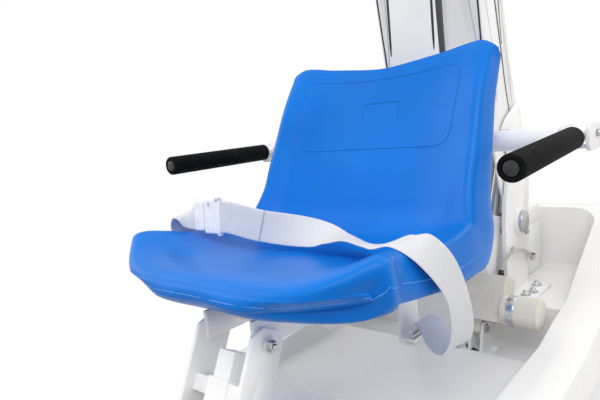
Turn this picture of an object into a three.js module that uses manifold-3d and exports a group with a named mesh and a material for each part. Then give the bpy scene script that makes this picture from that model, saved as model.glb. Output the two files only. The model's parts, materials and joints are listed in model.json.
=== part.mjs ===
// Mobile pool patient lift: a moulded seat hung from a levelled column on a lifting arm,
// which swings forward over the water from a wheeled base with a moulded cover.
// Millimetres, +Z up. The seat faces -Y, and the sitter's left hand is at +X.
import * as THREE from "three";
import { mergeVertices } from "three/addons/utils/BufferGeometryUtils.js";
import Module from "manifold-3d";

const wasm = await Module();
wasm.setup();

// Driving dimensions: the whole machine
const crossbarHeight = 575; // armrest crossbar axis above the floor, and Y = 0 lies on that axis
const armPivotY = 276; // lifting arm's pivot behind the crossbar axis
const armPivotHeight = 383;
const armReach = 1250; // arm pivot to head pivot
const armLeanDeg = 7.85; // forward lean of the parked arm, pivot to pivot
const clearance = 0.3; // between faces that touch
const runningGap = 1; // between faces that turn past each other
const overrun = 5; // how far a cutter passes the face that it cuts

// Base cover
const baseHalfWidth = 300;
const baseFrontY = -330;
const baseRearY = 560;
const baseCornerRadius = 95;
const skirtBottom = 115;
const shellWall = 4;
const railInnerHalf = 228;
const tubFloorHalf = 200;
const tubRearY = 508;
const wellHeight = 143;
const deckHeight = 172;
const plinthHeight = 230;
const deckRearY = 54;
const plinthFrontY = 188;
const railOuterHeight = 190;
const railInnerHeight = 205;
const hoodHeight = 372;
const tubCornerRadius = 55;

// Chassis
const railX = 180;
const frameTubeWidth = 40;
const frameTubeHeight = 25;
const frameTubeWall = 3;
const frameBottom = 113;
const frameFrontY = -300;
const frameRearY = 520;
const pedestalFrontY = 222;
const pedestalDepth = 110;
const outriggerThickness = 7;

// Wheels
const wheelRadius = 50;
const wheelWidth = 32;
const wheelInset = 55;
const wheelX = baseHalfWidth - wheelInset;
const frontWheelY = -215;
const castorY = 470;
const castorTrail = 30;
const forkPlateRadius = 32;
const forkPlateThickness = 6;
const forkWall = 3;
const axleRadius = 5;
const hubBore = 6;

// Side plates
const plateInnerX = 116;
const plateThickness = 8;
const flangeWidth = 48;
const pivotShaftRadius = 17;
const bushRadius = 24;

// Lifting arm
const armHalfWidth = 112;
const armWall = 4;
const armSlotHalf = 58;
const armSlotFoot = 590; // the front wall is whole below this, along the arm from its pivot
const armHeadAbove = 72; // arm above the head pivot
const tieRodRadius = 9;
const tieEyeRadius = 15;
const tieEyeWidth = 16;
const tiePinRadius = 6;
const handleRadius = 14;
const handleHalfWidth = 112;
const handleReach = 95;

// Actuator
const actuatorX = 86;
const footPinY = 130;
const footPinHeight = 190;
const rodPinRadius = 165; // arm pivot to rod pin
const rodPinBackDeg = 8;
const actuatorPinRadius = 6;
const motorRadius = 30.5;
const motorReachX = 213; // far end of the motor
const gearboxLowX = 58;
const gearboxHighX = 140;
const gearboxFront = 33;
const gearboxBack = 23;
const gearboxLow = 14; // above the foot pin, along the actuator
const gearboxHeight = 92;
const spindleTubeRadius = 19;
const spindleTubeEnd = 232; // above the foot pin
const rodRadius = 11;
const rodEyeSlot = 15; // lost motion of the rod's eye

// Hanger column and seat frame
const columnHalfWidth = 50;
const columnFrontY = 85;
const columnDepth = 40;
const columnWall = 3;
const columnBottom = 356;
const columnRestInset = 2; // on each side, within the column's width
const columnRestBottom = 200;
const columnRestGap = 26; // below the column, to let it swing away over the rest
const columnRestRound = 14;
const columnRestStemTop = 260;
const columnRestStemWidth = 38; // beside the slot in the floor
const columnRestFootInset = 4;
const headPinRadius = 10;
const headBushRadius = 18;
const seatPlateX = 45;
const seatPlateThickness = 6;
const seatPlateTop = 396;
const seatPlateDepth = 40;
const beltBarY = -136;
const beltBarWidth = 60;
const beltBarThickness = 5;
const beltBarHalf = 84;
const beltBarBottom = 252;

// Armrests
const gripX = 314;
const crossbarRadius = 16.85;
const gripRadius = 17;
const gripTubeRadius = 11;
const gripFrontY = -281;
const gripRearY = -31;
const armrestPivotY = 24;
const armrestPivotLift = 4;
const clevisInnerGap = 15; // half the room between an armrest clevis's cheeks
const cheekThickness = 6;
const armrestPinRadius = 5;
const armrestDroopDeg = 3; // the left armrest hangs this much lower than the right one

// Seat shell
const seatFrontY = -496;
const seatHalfWidth = 227;
const panHeight = 436;
const noseHeight = 450;
const backTopHeight = 722;
const backTopY = -24;
const panThickness = 52;
const backThickness = 30;
const bucketRise = 32;
const cornerLift = 24;
const backDip = 7.4; // of the back's top edge in its middle

// Lap belt
const beltWidth = 50;
const beltThickness = 2.4;
const buckleWidth = 60;
const buckleThickness = 9;

// Footrest
const legSlantDeg = 27;
const legWidth = 58;
const legLength = 190;
const postSide = 30;
const postWall = 2.5;
const postLength = 300;
const sleeveLength = 120;
const sleeveWall = 3;
const footPlateWidth = 320;
const footPlateDepth = 170;
const footPlateThickness = 12;

// Rear boxes and controls
const batteryHalfWidth = 105;
const batteryFrontY = 388;
const batteryDepth = 92;
const batteryHeight = 118;
const controlHeight = 40;
const stopRadius = 16;
const keyRadius = 9;
const keyTravel = 2;
const stopTravel = 5;
const cableRadius = 3.5;

// Sizes and places within the base
const frontRimHeight = 190;
const tubFrontY = -262;
const tubFloorFrontY = -238;
const tubFloorRearY = 492;
const recessHeight = 164;
const recessRearY = 15;
const rimRiseY = 135;
const rimRiseHeight = 222;
const rimMidY = 227;
const rimMidHeight = 237;
const rimUpperY = 360;
const rimUpperHeight = 303;
const draft = 4;
const floorSlotX = 8;
const floorSlotY = 100;
const floorSlotWidth = 40;
const floorSlotDepth = 48;
const outriggerHalf = 38;
const forkTop = 109.5;
const forkGap = 2.5;
const forkLegShare = 0.65;
const axleCheek = 12;
const collarRadius = 18;
const stemRadius = 10;
const stemHeadHeight = 6;
const hubInset = 2;
const hubRadius = 15;
const webHalf = 8;
const rimRadius = 36;
const treadRound = 5;
const brakePinTrail = 43;
const brakeEar = 7;
const brakeDrop = 4.5;
const brakePinRadius = 2.5;
const brakeHubRadius = 5;
const brakeTread = 46;
const brakeTreadThickness = 4;
const nutRadius = 7;
const nutHeight = 6;

// Side plate's outline as (Y, Z), and its flange nuts as (X, Y)
const sidePlateFoot = plinthHeight + clearance;
const sidePlateOutline = [
  [201, sidePlateFoot],
  [320, sidePlateFoot],
  [335, 362],
  [346, 440],
  [351, 506],
  [330, 560],
  [314, 590],
  [309, 618],
  [302, 631],
  [270, 618],
  [240, 603],
  [217, 584],
  [232, 560],
  [241, 536],
  [236, 498],
  [206, 430],
  [199, 390],
  [199, 317],
];
const flangeNuts = [
  [150, 224],
  [158, 248],
  [150, 296],
];
const bossRadius = 30;
const bossDepth = 7;
const shaftHeadRadius = 24;
const shaftHeadDepth = 7;
const shaftBore = pivotShaftRadius + runningGap;
const headBore = headPinRadius + runningGap;

// Arm's edges as (along, back) from its pivot, going down the front and up the tail
const armFrontDepth = 62;
const armBackDepth = 58;
const armFrontOutline = [
  [170, -armFrontDepth],
  [96, -54],
  [60, -42],
  [20, -31],
  [-18, -28],
];
const armTailDrop = 44;
const armTailOutline = [
  [-40, -12],
  [-armTailDrop, 10],
  [-34, 40],
  [0, 62],
  [50, 78],
  [110, 87],
  [165, 88],
  [215, 83],
  [265, 74],
  [330, 64],
  [420, armBackDepth],
];
const lipEnd = 190;
const bushDepth = 6;
const rodLugLow = 138;
const rodLugHigh = 182;
const rodLugTip = 28;
const rodLugRoot = 86;
const rodLugThickness = 6;
// Reliefs in the arm's rear web, where the link and the rod's eye pass when the arm is down:
// low X, high X, Y, Z
const armReliefs = [
  [-102, -66, 296, 350, 330, 388],
  [72, 100, 320, 350, 550, 574],
];
const capThickness = 22;
const capSlopeShare = 0.45;
const capPlug = 30;
const handleAlong = 640;
const handleFootX = 88;
const tieX = 88;
const tieLeverLength = 38;
const tieBackDeg = 47;
const leverHubRadius = 27;
const leverHubLength = 16;
const leverThickness = 8;
const pinCapDepth = 4;
const pinCapRadius = 9;
const rodCapDepth = 3;
const columnBushHalf = 60;

// Within the actuator
const footEyeWidth = 16;
const footEyeRadius = 13;
const footHalfWidth = 36;
const footHalfDepth = 26;
const footPlate = 6;
const motorAlong = 40;
const motorForward = 18;
const rodStroke = 114; // over the arm's whole travel
const rodOverlap = 40;
const rodEyeWidth = 20;
const rodEyePlay = 4; // sideways lost motion of the rod's eye
const rodEyeWall = 6;

// Within the seat frame and armrests
const seatPlateFrontY = -452;
const gussetFootY = -62;
const gussetReach = 25;
const seatTieYs = [-395, -210];
const seatTieRadius = 9;
const anchorReach = 26;
const anchorHalf = 32;
const anchorHeight = 274;
const anchorThickness = 4;
const anchorSlot = 5;
const anchorSlotEdge = 5;
const crossbarWall = 2.5;
const cheekReach = 20;

// Seat stations, front to top: (Y, Z) of the middle of the upper face, half width, how far the
// sides stand up, thickness (0 reaches down to the frame), and how far the corners are drawn in
const seatEdgeRound = 14;
const cornerPeakShare = 0.81;
const cornerLiftPower = 1.5;
const noseRoundShare = 0.56;
const underShare = 0.84;
const skirtLeast = 8;
const skirtSlopeShare = 0.145;
const skirtRearY = -180;
const skirtMostShare = 0.6;
const hullShare = 0.65;
const hullRun = 100;
const seatCrossShares = [
  [0, 0],
  [0.3, 0.03],
  [0.55, 0.17],
  [0.74, 0.5],
  [0.87, 0.86],
  [0.94, 1],
  [0.985, 0.86],
];
const seatStations = [
  [seatFrontY, 438, 218, 6, 10, -66],
  [-492, 444, 225, 12, 20, -62],
  [-484, 448, 232, 18, 30, -55],
  [-470, noseHeight, 236, 26, 40, -42],
  [-448, 452, 237, 33, 50, -22],
  [-420, 451, 235, 37, 0, -6],
  [-385, 449, 223, 35, 0, -1],
  [-350, 445, 224, 30, 0, 0],
  [-300, 440, 226, bucketRise - 4, 0, 0],
  [-240, panHeight, seatHalfWidth, bucketRise, 0, 0],
  [-195, 437, seatHalfWidth, 36, 40, 0],
  [-160, 446, 224, 37, panThickness, 0],
  [-136, 470, 220, 38, 48, 0],
  [-120, 505, 213, 34, 38, 0],
  [-103, 548, 211, 31, 34, 0],
  [-84, 592, 209, 28, 32, 0],
  [-64, 638, 206, 25, backThickness, 2],
  [-47, 676, 206, 18, backThickness, 6],
  [-34, 704, 206, 12, backThickness, 12],
  [-27, 717, 208, 9, 24, 15],
  [backTopY, backTopHeight, 209, 7, 12, 19],
];

// Belt routes: (X, Y, Z) of the webbing's middle, then the way that its width points
const beltLeftRoute = [
  [102.5, -136, 262, 0, 1, 0],
  [102.5, -136, 286, 0, 1, 0],
  [107, -137, 300, 0, 1, 0],
  [120, -142, 303, 0.2, 1, 0],
  [140, -156, 295, 0.5, 1, 0],
  [165, -176, 285, 0.65, 1, 0.1],
  [192, -198, 294, 0.6, 0.9, 0.3],
  [215, -224, 323, 0.45, 0.9, 0.45],
  [233, -256, 367, 0.2, 0.85, 0.55],
  [243, -296, 426, 0, 0.83, 0.55],
  [240, -324, 460, 0, 0.83, 0.5],
  [226, -338, 480, 0, 0.9, 0.35],
  [202, -338, 485, -0.1, 1, 0.05],
  [160, -320, 473, -0.4, 0.9, -0.18],
  [100, -288, 464, -0.57, 0.8, -0.21],
  [50, -272, 463, -0.5, 0.8, 0.1],
  [0, -265, 467, -0.1, 0.6, 0.7],
  [-70, -302, 482, 0, 0.1, 1],
  [-116, -324.5, 497.8, 0, 0.1, 1],
  [-133, -328.75, 498.94, 0, 0.1, 1],
];
const beltRightRoute = [
  [-102.5, -136, 262, 0, 1, 0],
  [-102.5, -136, 286, 0, 1, 0],
  [-107, -137, 300, 0, 1, 0],
  [-120, -142, 303, -0.2, 1, 0],
  [-140, -156, 295, -0.5, 1, 0],
  [-165, -176, 285, -0.65, 1, 0.1],
  [-192, -198, 294, -0.6, 0.9, 0.3],
  [-215, -224, 323, -0.45, 0.9, 0.45],
  [-233, -256, 367, -0.2, 0.85, 0.55],
  [-243, -296, 428, 0, 0.85, 0.5],
  [-241, -318, 462, 0, 0.9, 0.4],
  [-234, -330, 486, 0, 1, 0.2],
  [-221, -334, 500, 0, 1, 0.08],
  [-209, -333, 503.2, 0, 0.8, 0.45],
  [-198.45, -332.95, 502.05, 0, 0.3, 0.95],
  [-188.45, -333.95, 501.05, 0, 0.1, 1],
];
const buckleBodyRoute = [
  [-167, -335, 500, 0, 0.1, 1],
  [-150, -333, 500, 0, 0.1, 1],
  [-134, -329, 499, 0, 0.1, 1],
];
const buckleTongueRoute = [
  [-188, -334, 501, 0, 0.1, 1],
  [-178, -335, 500, 0, 0.1, 1],
  [-168, -335, 500, 0, 0.1, 1],
];
const tongueShare = 0.85;

// Within the footrest
const legRootY = -431;
const legRootHeight = 372;
const legTopDown = -8;
const legBoltsDown = [12, 92, 150];
const sleeveStart = 66;
const sleeveEarLength = 22;
const postStart = 30;
const boardPinHalf = 42;
const boardPinRadius = 5;
const boardHubRadius = 11;
const boardSetback = 24;
const boardNotch = 46;

// Within the rear boxes
const boxRound = 14;
const stopX = 60;
const stopStem = 8;
const stopCapDepth = 12;
const buttonWell = 14;
const keyXs = [-60, -20];

// Cable routes
const actuatorCableRoute = [
  [118, 177.6, 290],
  [119, 180, 300],
  [124, 188, 318],
  [132, 206, 332],
  [134, 240, 330],
  [133, 280, 318],
  [130, 320, 300],
  [124, 350, 282],
  [118, 372, 276],
  [117, 392, 276],
  [111, 398, 276],
  [105.4, 398, 276],
];
const motorCableRoute = [
  [30, 128, 143.4],
  [30, 128, 156],
  [32, 130, 174],
  [38, 138, 198],
  [46, 145, 211],
  [52, 147, 214],
  [57.5, 147, 214],
];

const deg = THREE.MathUtils.degToRad;
const v3 = (x, y, z) => new THREE.Vector3(x, y, z);
const v2 = (x, y) => new THREE.Vector2(x, y);

// Materials
const finish = (color, roughness, metalness) =>
  new THREE.MeshStandardMaterial({ color, roughness, metalness });
const finishes = {
  whiteCoat: finish(0xf0f1f2, 0.35, 0.1),
  gelcoat: finish(0xf4f5f6, 0.25, 0),
  blueShell: finish(0x0a6cd6, 0.4, 0),
  blackFoam: finish(0x1c1e1f, 0.85, 0),
  blackPlastic: finish(0x17181a, 0.5, 0),
  steel: finish(0xb9bcbf, 0.3, 1),
  beigeHousing: finish(0xcfcac0, 0.5, 0.1),
  whiteWebbing: finish(0xe4e8ee, 0.9, 0),
  whitePlastic: finish(0xeceff2, 0.35, 0),
  greyTyre: finish(0x6f7478, 0.8, 0),
  greyCable: finish(0x8d8f8c, 0.6, 0),
  redButton: finish(0xc4161c, 0.35, 0),
  greenButton: finish(0x2f8f46, 0.4, 0),
};

// Solids
function solidOf(geometry) {
  const bare = geometry.clone();
  bare.deleteAttribute("normal");
  bare.deleteAttribute("uv");
  const merged = mergeVertices(bare, 1e-4);
  return new wasm.Manifold(
    new wasm.Mesh({
      numProp: 3,
      vertProperties: new Float32Array(merged.attributes.position.array),
      triVerts: new Uint32Array(merged.index.array),
    }),
  );
}

function geometryOf(solid) {
  const mesh = solid.getMesh();
  const geometry = new THREE.BufferGeometry();
  geometry.setAttribute("position", new THREE.BufferAttribute(mesh.vertProperties, 3));
  geometry.setIndex(new THREE.BufferAttribute(mesh.triVerts, 1));
  const flat = geometry.toNonIndexed();
  flat.computeVertexNormals();
  return flat;
}

const joined = (...solids) => solids.reduce((sum, next) => sum.add(next));
const cut = (solid, ...cutters) => cutters.reduce((left, next) => left.subtract(next), solid);

// A box between two opposite corners.
function block(low, high) {
  const size = high.clone().sub(low);
  const middle = low.clone().add(high).multiplyScalar(0.5);
  const geometry = new THREE.BoxGeometry(size.x, size.y, size.z);
  return solidOf(geometry.translate(middle.x, middle.y, middle.z));
}

// A round bar between two points.
function bar(from, to, radius, sides = 24, endRadius = radius) {
  const along = to.clone().sub(from);
  const geometry = new THREE.CylinderGeometry(endRadius, radius, along.length(), sides);
  const turn = new THREE.Quaternion().setFromUnitVectors(v3(0, 1, 0), along.clone().normalize());
  const middle = from.clone().add(to).multiplyScalar(0.5);
  geometry.applyQuaternion(turn).translate(middle.x, middle.y, middle.z);
  return solidOf(geometry);
}

const barX = (lowX, highX, y, z, radius, sides) => bar(v3(lowX, y, z), v3(highX, y, z), radius, sides);
const barZ = (x, y, lowZ, highZ, radius, sides) => bar(v3(x, y, lowZ), v3(x, y, highZ), radius, sides);

// A side outline of (Y, Z) points carried across from one X to another.
function acrossX(outline, lowX, highX) {
  const shape = outline instanceof THREE.Shape ? outline : new THREE.Shape(outline);
  const geometry = new THREE.ExtrudeGeometry(shape, {
    depth: highX - lowX,
    bevelEnabled: false,
    curveSegments: 8,
  });
  const turn = new THREE.Matrix4().makeBasis(v3(0, 1, 0), v3(0, 0, 1), v3(1, 0, 0));
  return solidOf(geometry.applyMatrix4(turn).translate(lowX, 0, 0));
}

// A plan outline of (X, Y) points carried up from one height to another.
function upZ(outline, lowZ, highZ) {
  const shape = outline instanceof THREE.Shape ? outline : new THREE.Shape(outline);
  const geometry = new THREE.ExtrudeGeometry(shape, {
    depth: highZ - lowZ,
    bevelEnabled: false,
    curveSegments: 8,
  });
  return solidOf(geometry.translate(0, 0, lowZ));
}

// The triangles of a long thin outline, walked from its left end along both of its sides.
function bandTriangles(ring) {
  const count = ring.length;
  const wide = ring.map((p) => p.x);
  const right = wide.indexOf(Math.max(...wide));
  let ahead = wide.indexOf(Math.min(...wide));
  let behind = ahead;
  const triangles = [];
  while (ahead !== right || behind !== right) {
    const nextAhead = (ahead + 1) % count;
    const nextBehind = (behind - 1 + count) % count;
    const forward = behind === right || (ahead !== right && wide[nextAhead] <= wide[nextBehind]);
    const next = forward ? nextAhead : nextBehind;
    if (ahead !== behind && next !== ahead && next !== behind) triangles.push([ahead, next, behind]);
    if (forward) ahead = next;
    else behind = next;
  }
  return triangles;
}

// A closed skin through rings of points, with its two ends filled from their middles. The faces of
// the sides listed in leaning are split along their other diagonal.
function loft(rings, banded, leaning = []) {
  const count = rings[0].length;
  const places = rings.flatMap((ring) => ring.flatMap((p) => [p.x, p.y, p.z]));
  const faces = [];
  const at = (ring, k) => ring * count + (k % count);
  for (let i = 0; i + 1 < rings.length; i++)
    for (let k = 0; k < count; k++) {
      const [a, b, c, d] = [at(i, k), at(i, k + 1), at(i + 1, k + 1), at(i + 1, k)];
      faces.push(...(leaning.includes(k) ? [a, b, d, b, c, d] : [a, b, c, a, c, d]));
    }
  for (const [ring, turned] of [
    [0, true],
    [rings.length - 1, false],
  ]) {
    if (banded) {
      for (const [a, b, c] of bandTriangles(rings[ring]))
        faces.push(...[a, turned ? c : b, turned ? b : c].map((k) => at(ring, k)));
      continue;
    }
    const middle = rings[ring].reduce((sum, p) => sum.add(p), v3(0, 0, 0)).divideScalar(count);
    const hub = places.length / 3;
    places.push(middle.x, middle.y, middle.z);
    for (let k = 0; k < count; k++)
      faces.push(...(turned ? [hub, at(ring, k + 1), at(ring, k)] : [hub, at(ring, k), at(ring, k + 1)]));
  }
  const geometry = new THREE.BufferGeometry();
  geometry.setAttribute("position", new THREE.Float32BufferAttribute(places, 3));
  geometry.setIndex(faces);
  const made = solidOf(geometry);
  if (made.volume() > 0) return made;
  const turnedFaces = [];
  for (let i = 0; i < faces.length; i += 3) turnedFaces.push(faces[i], faces[i + 2], faces[i + 1]);
  geometry.setIndex(turnedFaces);
  return solidOf(geometry);
}

// A tube that follows a smooth curve through its points.
function tubeAlong(points, radius, sides, steps, closedLine = false) {
  const shape = new THREE.Shape();
  for (let k = 0; k < sides; k++) {
    const angle = (2 * Math.PI * k) / sides;
    const place = [radius * Math.cos(angle), radius * Math.sin(angle)];
    if (k) shape.lineTo(...place);
    else shape.moveTo(...place);
  }
  const path = new THREE.CatmullRomCurve3(points, closedLine, "centripetal");
  return solidOf(
    new THREE.ExtrudeGeometry(shape, { steps, bevelEnabled: false, extrudePath: path }),
  );
}

// Stands a plan's extrusion up: its Y becomes height, and its depth runs towards the front.
const uprightTurn = [90, 0, 0];

// A rectangle with round corners, as a plan or a section.
function roundedRectangle(lowX, highX, lowY, highY, radius) {
  const shape = new THREE.Shape();
  shape.moveTo(lowX + radius, lowY);
  shape.lineTo(highX - radius, lowY);
  shape.absarc(highX - radius, lowY + radius, radius, -Math.PI / 2, 0, false);
  shape.lineTo(highX, highY - radius);
  shape.absarc(highX - radius, highY - radius, radius, 0, Math.PI / 2, false);
  shape.lineTo(lowX + radius, highY);
  shape.absarc(lowX + radius, highY - radius, radius, Math.PI / 2, Math.PI, false);
  shape.lineTo(lowX, lowY + radius);
  shape.absarc(lowX + radius, lowY + radius, radius, Math.PI, 1.5 * Math.PI, false);
  return shape;
}

const lift = new THREE.Group();
function piece(name, solid, material) {
  const mesh = new THREE.Mesh(geometryOf(solid), material);
  mesh.name = name;
  lift.add(mesh);
  return solid;
}

// Base cover: a thin moulded shell with a tub, open underneath
const rimHeights = [
  [baseFrontY, frontRimHeight],
  [tubFrontY, frontRimHeight],
  [deckRearY, railInnerHeight],
  [rimRiseY, rimRiseHeight],
  [rimMidY, rimMidHeight],
  [rimUpperY, rimUpperHeight],
  [tubRearY, hoodHeight],
  [baseRearY, hoodHeight],
];

function coverBody(inset) {
  const plan = roundedRectangle(
    inset - baseHalfWidth,
    baseHalfWidth - inset,
    baseFrontY + inset,
    baseRearY - inset,
    baseCornerRadius - inset,
  );
  const low = inset ? skirtBottom - overrun : skirtBottom;
  const rim = rimHeights.map(([y, height]) => v2(y, height - inset));
  const profile = [v2(baseRearY, low), ...rim.slice().reverse(), v2(baseFrontY, low)];
  const body = upZ(plan, low, hoodHeight).intersect(
    acrossX(profile, -baseHalfWidth, baseHalfWidth),
  );
  const fall = railInnerHeight - railOuterHeight;
  const wedges = [-1, 1].map((side) =>
    loft(
      rim.map(({ x: y, y: height }) => {
        const outer = baseHalfWidth + overrun;
        return [
          v3(side * railInnerHalf, y, height),
          v3(side * outer, y, height - fall),
          v3(side * outer, y, height + fall),
          v3(side * railInnerHalf, y, height + fall),
        ];
      }),
    ),
  );
  return cut(body, ...wedges);
}

function tubBody(grow) {
  const ring = (half, frontY, rearY, height) =>
    roundedRectangle(-half - grow, half + grow, frontY - grow, rearY + grow, tubCornerRadius)
      .getPoints(5)
      .slice(0, -1)
      .map((p) => v3(p.x, p.y, height));
  const walls = loft([
    ring(tubFloorHalf, tubFloorFrontY, tubFloorRearY, wellHeight - shellWall - overrun),
    ring(railInnerHalf, tubFrontY, tubRearY, railInnerHeight),
    ring(railInnerHalf, tubFrontY, tubRearY, hoodHeight + overrun),
  ]);
  const floor = [
    v2(baseFrontY, 0),
    v2(baseFrontY, recessHeight - grow),
    v2(recessRearY, recessHeight - grow),
    v2(deckRearY - grow, deckHeight - grow),
    v2(deckRearY - grow + draft, wellHeight - grow),
    v2(plinthFrontY + grow - draft, wellHeight - grow),
    v2(plinthFrontY + grow, plinthHeight - grow),
    v2(baseRearY, plinthHeight - grow),
    v2(baseRearY, 0),
  ];
  return cut(walls, acrossX(floor, -baseHalfWidth, baseHalfWidth));
}

piece(
  "base_cover",
  cut(
    coverBody(0),
    tubBody(0),
    cut(coverBody(shellWall), tubBody(shellWall)),
    block(
      v3(floorSlotX, floorSlotY, wellHeight - shellWall - overrun),
      v3(floorSlotX + floorSlotWidth, floorSlotY + floorSlotDepth, wellHeight + overrun),
    ),
  ),
  finishes.gelcoat,
);

// Chassis: welded tubes, the arm's pedestal and the wheel outriggers
function chassis() {
  const top = frameBottom + frameTubeHeight;
  const halfWide = frameTubeWidth / 2;
  const crossYs = [frameFrontY + halfWide, footPinY, frameRearY - halfWide];
  const tubes = (wall, beyond) => [
    ...[-railX, railX].map((x) =>
      block(
        v3(x - halfWide + wall, frameFrontY - beyond, frameBottom + wall),
        v3(x + halfWide - wall, frameRearY + beyond, top - wall),
      ),
    ),
    ...crossYs.map((y) =>
      block(v3(-railX, y - halfWide + wall, frameBottom + wall), v3(railX, y + halfWide - wall, top - wall)),
    ),
  ];
  const pedestalHalf = plateInnerX + plateThickness + flangeWidth;
  const pedestalTop = plinthHeight - shellWall - clearance;
  const pedestal = block(
    v3(-pedestalHalf, pedestalFrontY, frameBottom),
    v3(pedestalHalf, pedestalFrontY + pedestalDepth, pedestalTop),
  );
  const pedestalRoom = block(
    v3(-pedestalHalf + frameTubeWall, pedestalFrontY + frameTubeWall, frameBottom - overrun),
    v3(
      pedestalHalf - frameTubeWall,
      pedestalFrontY + pedestalDepth - frameTubeWall,
      pedestalTop - frameTubeWall,
    ),
  );
  const wheelPlaces = [-wheelX, wheelX].flatMap((x) => [
    [x, frontWheelY],
    [x, castorY],
  ]);
  const outriggers = wheelPlaces.flatMap(([x, y]) => {
    const side = Math.sign(x);
    const xs = [side * railX, side * (wheelX + forkPlateRadius)];
    const plate = block(
      v3(Math.min(...xs), y - outriggerHalf, top - outriggerThickness),
      v3(Math.max(...xs), y + outriggerHalf, top),
    );
    return [plate, barZ(x, y, forkTop + runningGap, top, collarRadius, 12)];
  });
  const bores = wheelPlaces.map(([x, y]) =>
    barZ(x, y, frameBottom - overrun, top + overrun, stemRadius + runningGap, 12),
  );
  const shell = joined(pedestal, ...tubes(0, 0), ...outriggers);
  return cut(shell, pedestalRoom, ...tubes(frameTubeWall, overrun), ...bores);
}
piece("chassis_frame", chassis(), finishes.whiteCoat);

// Wheels: two fixed in front, two braked castors behind
function wheel(x, y) {
  const half = wheelWidth / 2;
  const profile = [
    v2(hubBore, -half + hubInset),
    v2(hubRadius, -half + hubInset),
    v2(hubRadius, -webHalf),
    v2(rimRadius, -webHalf),
    v2(rimRadius, -half),
    v2(wheelRadius - treadRound, -half),
    v2(wheelRadius, -half + treadRound),
    v2(wheelRadius, half - treadRound),
    v2(wheelRadius - treadRound, half),
    v2(rimRadius, half),
    v2(rimRadius, webHalf),
    v2(hubRadius, webHalf),
    v2(hubRadius, half - hubInset),
    v2(hubBore, half - hubInset),
    v2(hubBore, -half + hubInset),
  ];
  const geometry = new THREE.LatheGeometry(profile, 20);
  return solidOf(geometry.rotateZ(-Math.PI / 2).translate(x, y, wheelRadius));
}

function fork(x, y, trail) {
  const half = wheelWidth / 2 + forkGap;
  const tail = trail ? brakePinTrail + brakeEar : 0;
  const axleY = y + trail;
  const legOutline = [
    v2(y - forkPlateRadius * forkLegShare, forkTop),
    v2(axleY - axleCheek, wheelRadius),
    v2(axleY, wheelRadius - axleCheek),
    v2(axleY + axleCheek, wheelRadius),
    ...(trail
      ? [v2(y + tail, forkTop - brakeEar * 2), v2(y + tail, forkTop)]
      : [v2(y + forkPlateRadius * forkLegShare, forkTop)]),
  ];
  const legs = [-half - forkWall, half].map((from) =>
    acrossX(legOutline, x + from, x + from + forkWall),
  );
  const stemTop = frameBottom + frameTubeHeight + runningGap;
  const solids = [
    barZ(x, y, forkTop - forkPlateThickness, forkTop, forkPlateRadius, 20),
    ...legs,
    barX(x - half - forkWall / 2, x + half + forkWall / 2, axleY, wheelRadius, axleRadius, 16),
    barZ(x, y, forkTop - forkPlateThickness / 2, stemTop, stemRadius, 12),
    barZ(x, y, stemTop, stemTop + stemHeadHeight, collarRadius, 6),
  ];
  if (trail)
    solids.push(
      barX(
        x - half - forkWall / 2,
        x + half + forkWall / 2,
        y + brakePinTrail,
        forkTop - brakeDrop,
        brakePinRadius,
        12,
      ),
    );
  return joined(...solids);
}

function brakePedal(x) {
  const pinY = castorY + brakePinTrail;
  const height = forkTop - brakeDrop;
  const half = wheelWidth / 2;
  const hub = barX(x - half, x + half, pinY, height, brakeHubRadius, 16);
  const tread = block(
    v3(x - half, pinY, height),
    v3(x + half, pinY + brakeTread, height + brakeTreadThickness),
  );
  const bore = barX(
    x - half - overrun,
    x + half + overrun,
    pinY,
    height,
    brakePinRadius + runningGap / 2,
    12,
  );
  return cut(joined(hub, tread), bore);
}

for (const [side, label] of [
  [1, "left"],
  [-1, "right"],
]) {
  piece(`front_fork_${label}`, fork(side * wheelX, frontWheelY, 0), finishes.steel);
  piece(`front_wheel_${label}`, wheel(side * wheelX, frontWheelY), finishes.greyTyre);
  piece(`castor_fork_${label}`, fork(side * wheelX, castorY, castorTrail), finishes.steel);
  piece(`castor_wheel_${label}`, wheel(side * wheelX, castorY + castorTrail), finishes.greyTyre);
  piece(`brake_pedal_${label}`, brakePedal(side * wheelX), finishes.redButton);
}

// Side plates that hold the arm's pivot
const armPivot = v2(armPivotY, armPivotHeight);
for (const [side, label] of [
  [1, "left"],
  [-1, "right"],
]) {
  const slab = (low, high) => [side * low, side * high].sort((a, b) => a - b);
  const outer = plateInnerX + plateThickness;
  const flangeLow = plinthHeight + clearance;
  const flangeTop = flangeLow + plateThickness;
  const outline = sidePlateOutline.map(([y, z]) => v2(y, z));
  const ys = sidePlateOutline.filter(([, z]) => z === sidePlateFoot).map(([y]) => y);
  const flange = slab(plateInnerX, outer + flangeWidth);
  const nuts = flangeNuts.map(([x, y]) =>
    barZ(side * x, y, flangeTop - clearance, flangeTop + nutHeight, nutRadius, 12),
  );
  const body = joined(
    acrossX(outline, ...slab(plateInnerX, outer)),
    block(v3(flange[0], Math.min(...ys), flangeLow), v3(flange[1], Math.max(...ys), flangeTop)),
    barX(...slab(outer - clearance, outer + bossDepth), armPivot.x, armPivot.y, bossRadius, 28),
    ...nuts,
  );
  const hole = barX(
    ...slab(plateInnerX - overrun, outer + bossDepth + overrun),
    armPivot.x,
    armPivot.y,
    pivotShaftRadius + clearance,
    28,
  );
  piece(`side_plate_${label}`, cut(body, hole), finishes.whiteCoat);
}

const shaftHalf = plateInnerX + plateThickness + bossDepth + clearance;
piece(
  "arm_pivot_shaft",
  joined(
    barX(-shaftHalf, shaftHalf, armPivot.x, armPivot.y, pivotShaftRadius, 28),
    ...[-1, 1].map((side) => {
      const ends = [side * shaftHalf, side * (shaftHalf + shaftHeadDepth)].sort((a, b) => a - b);
      return barX(...ends, armPivot.x, armPivot.y, shaftHeadRadius, 28);
    }),
  ),
  finishes.steel,
);

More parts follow.
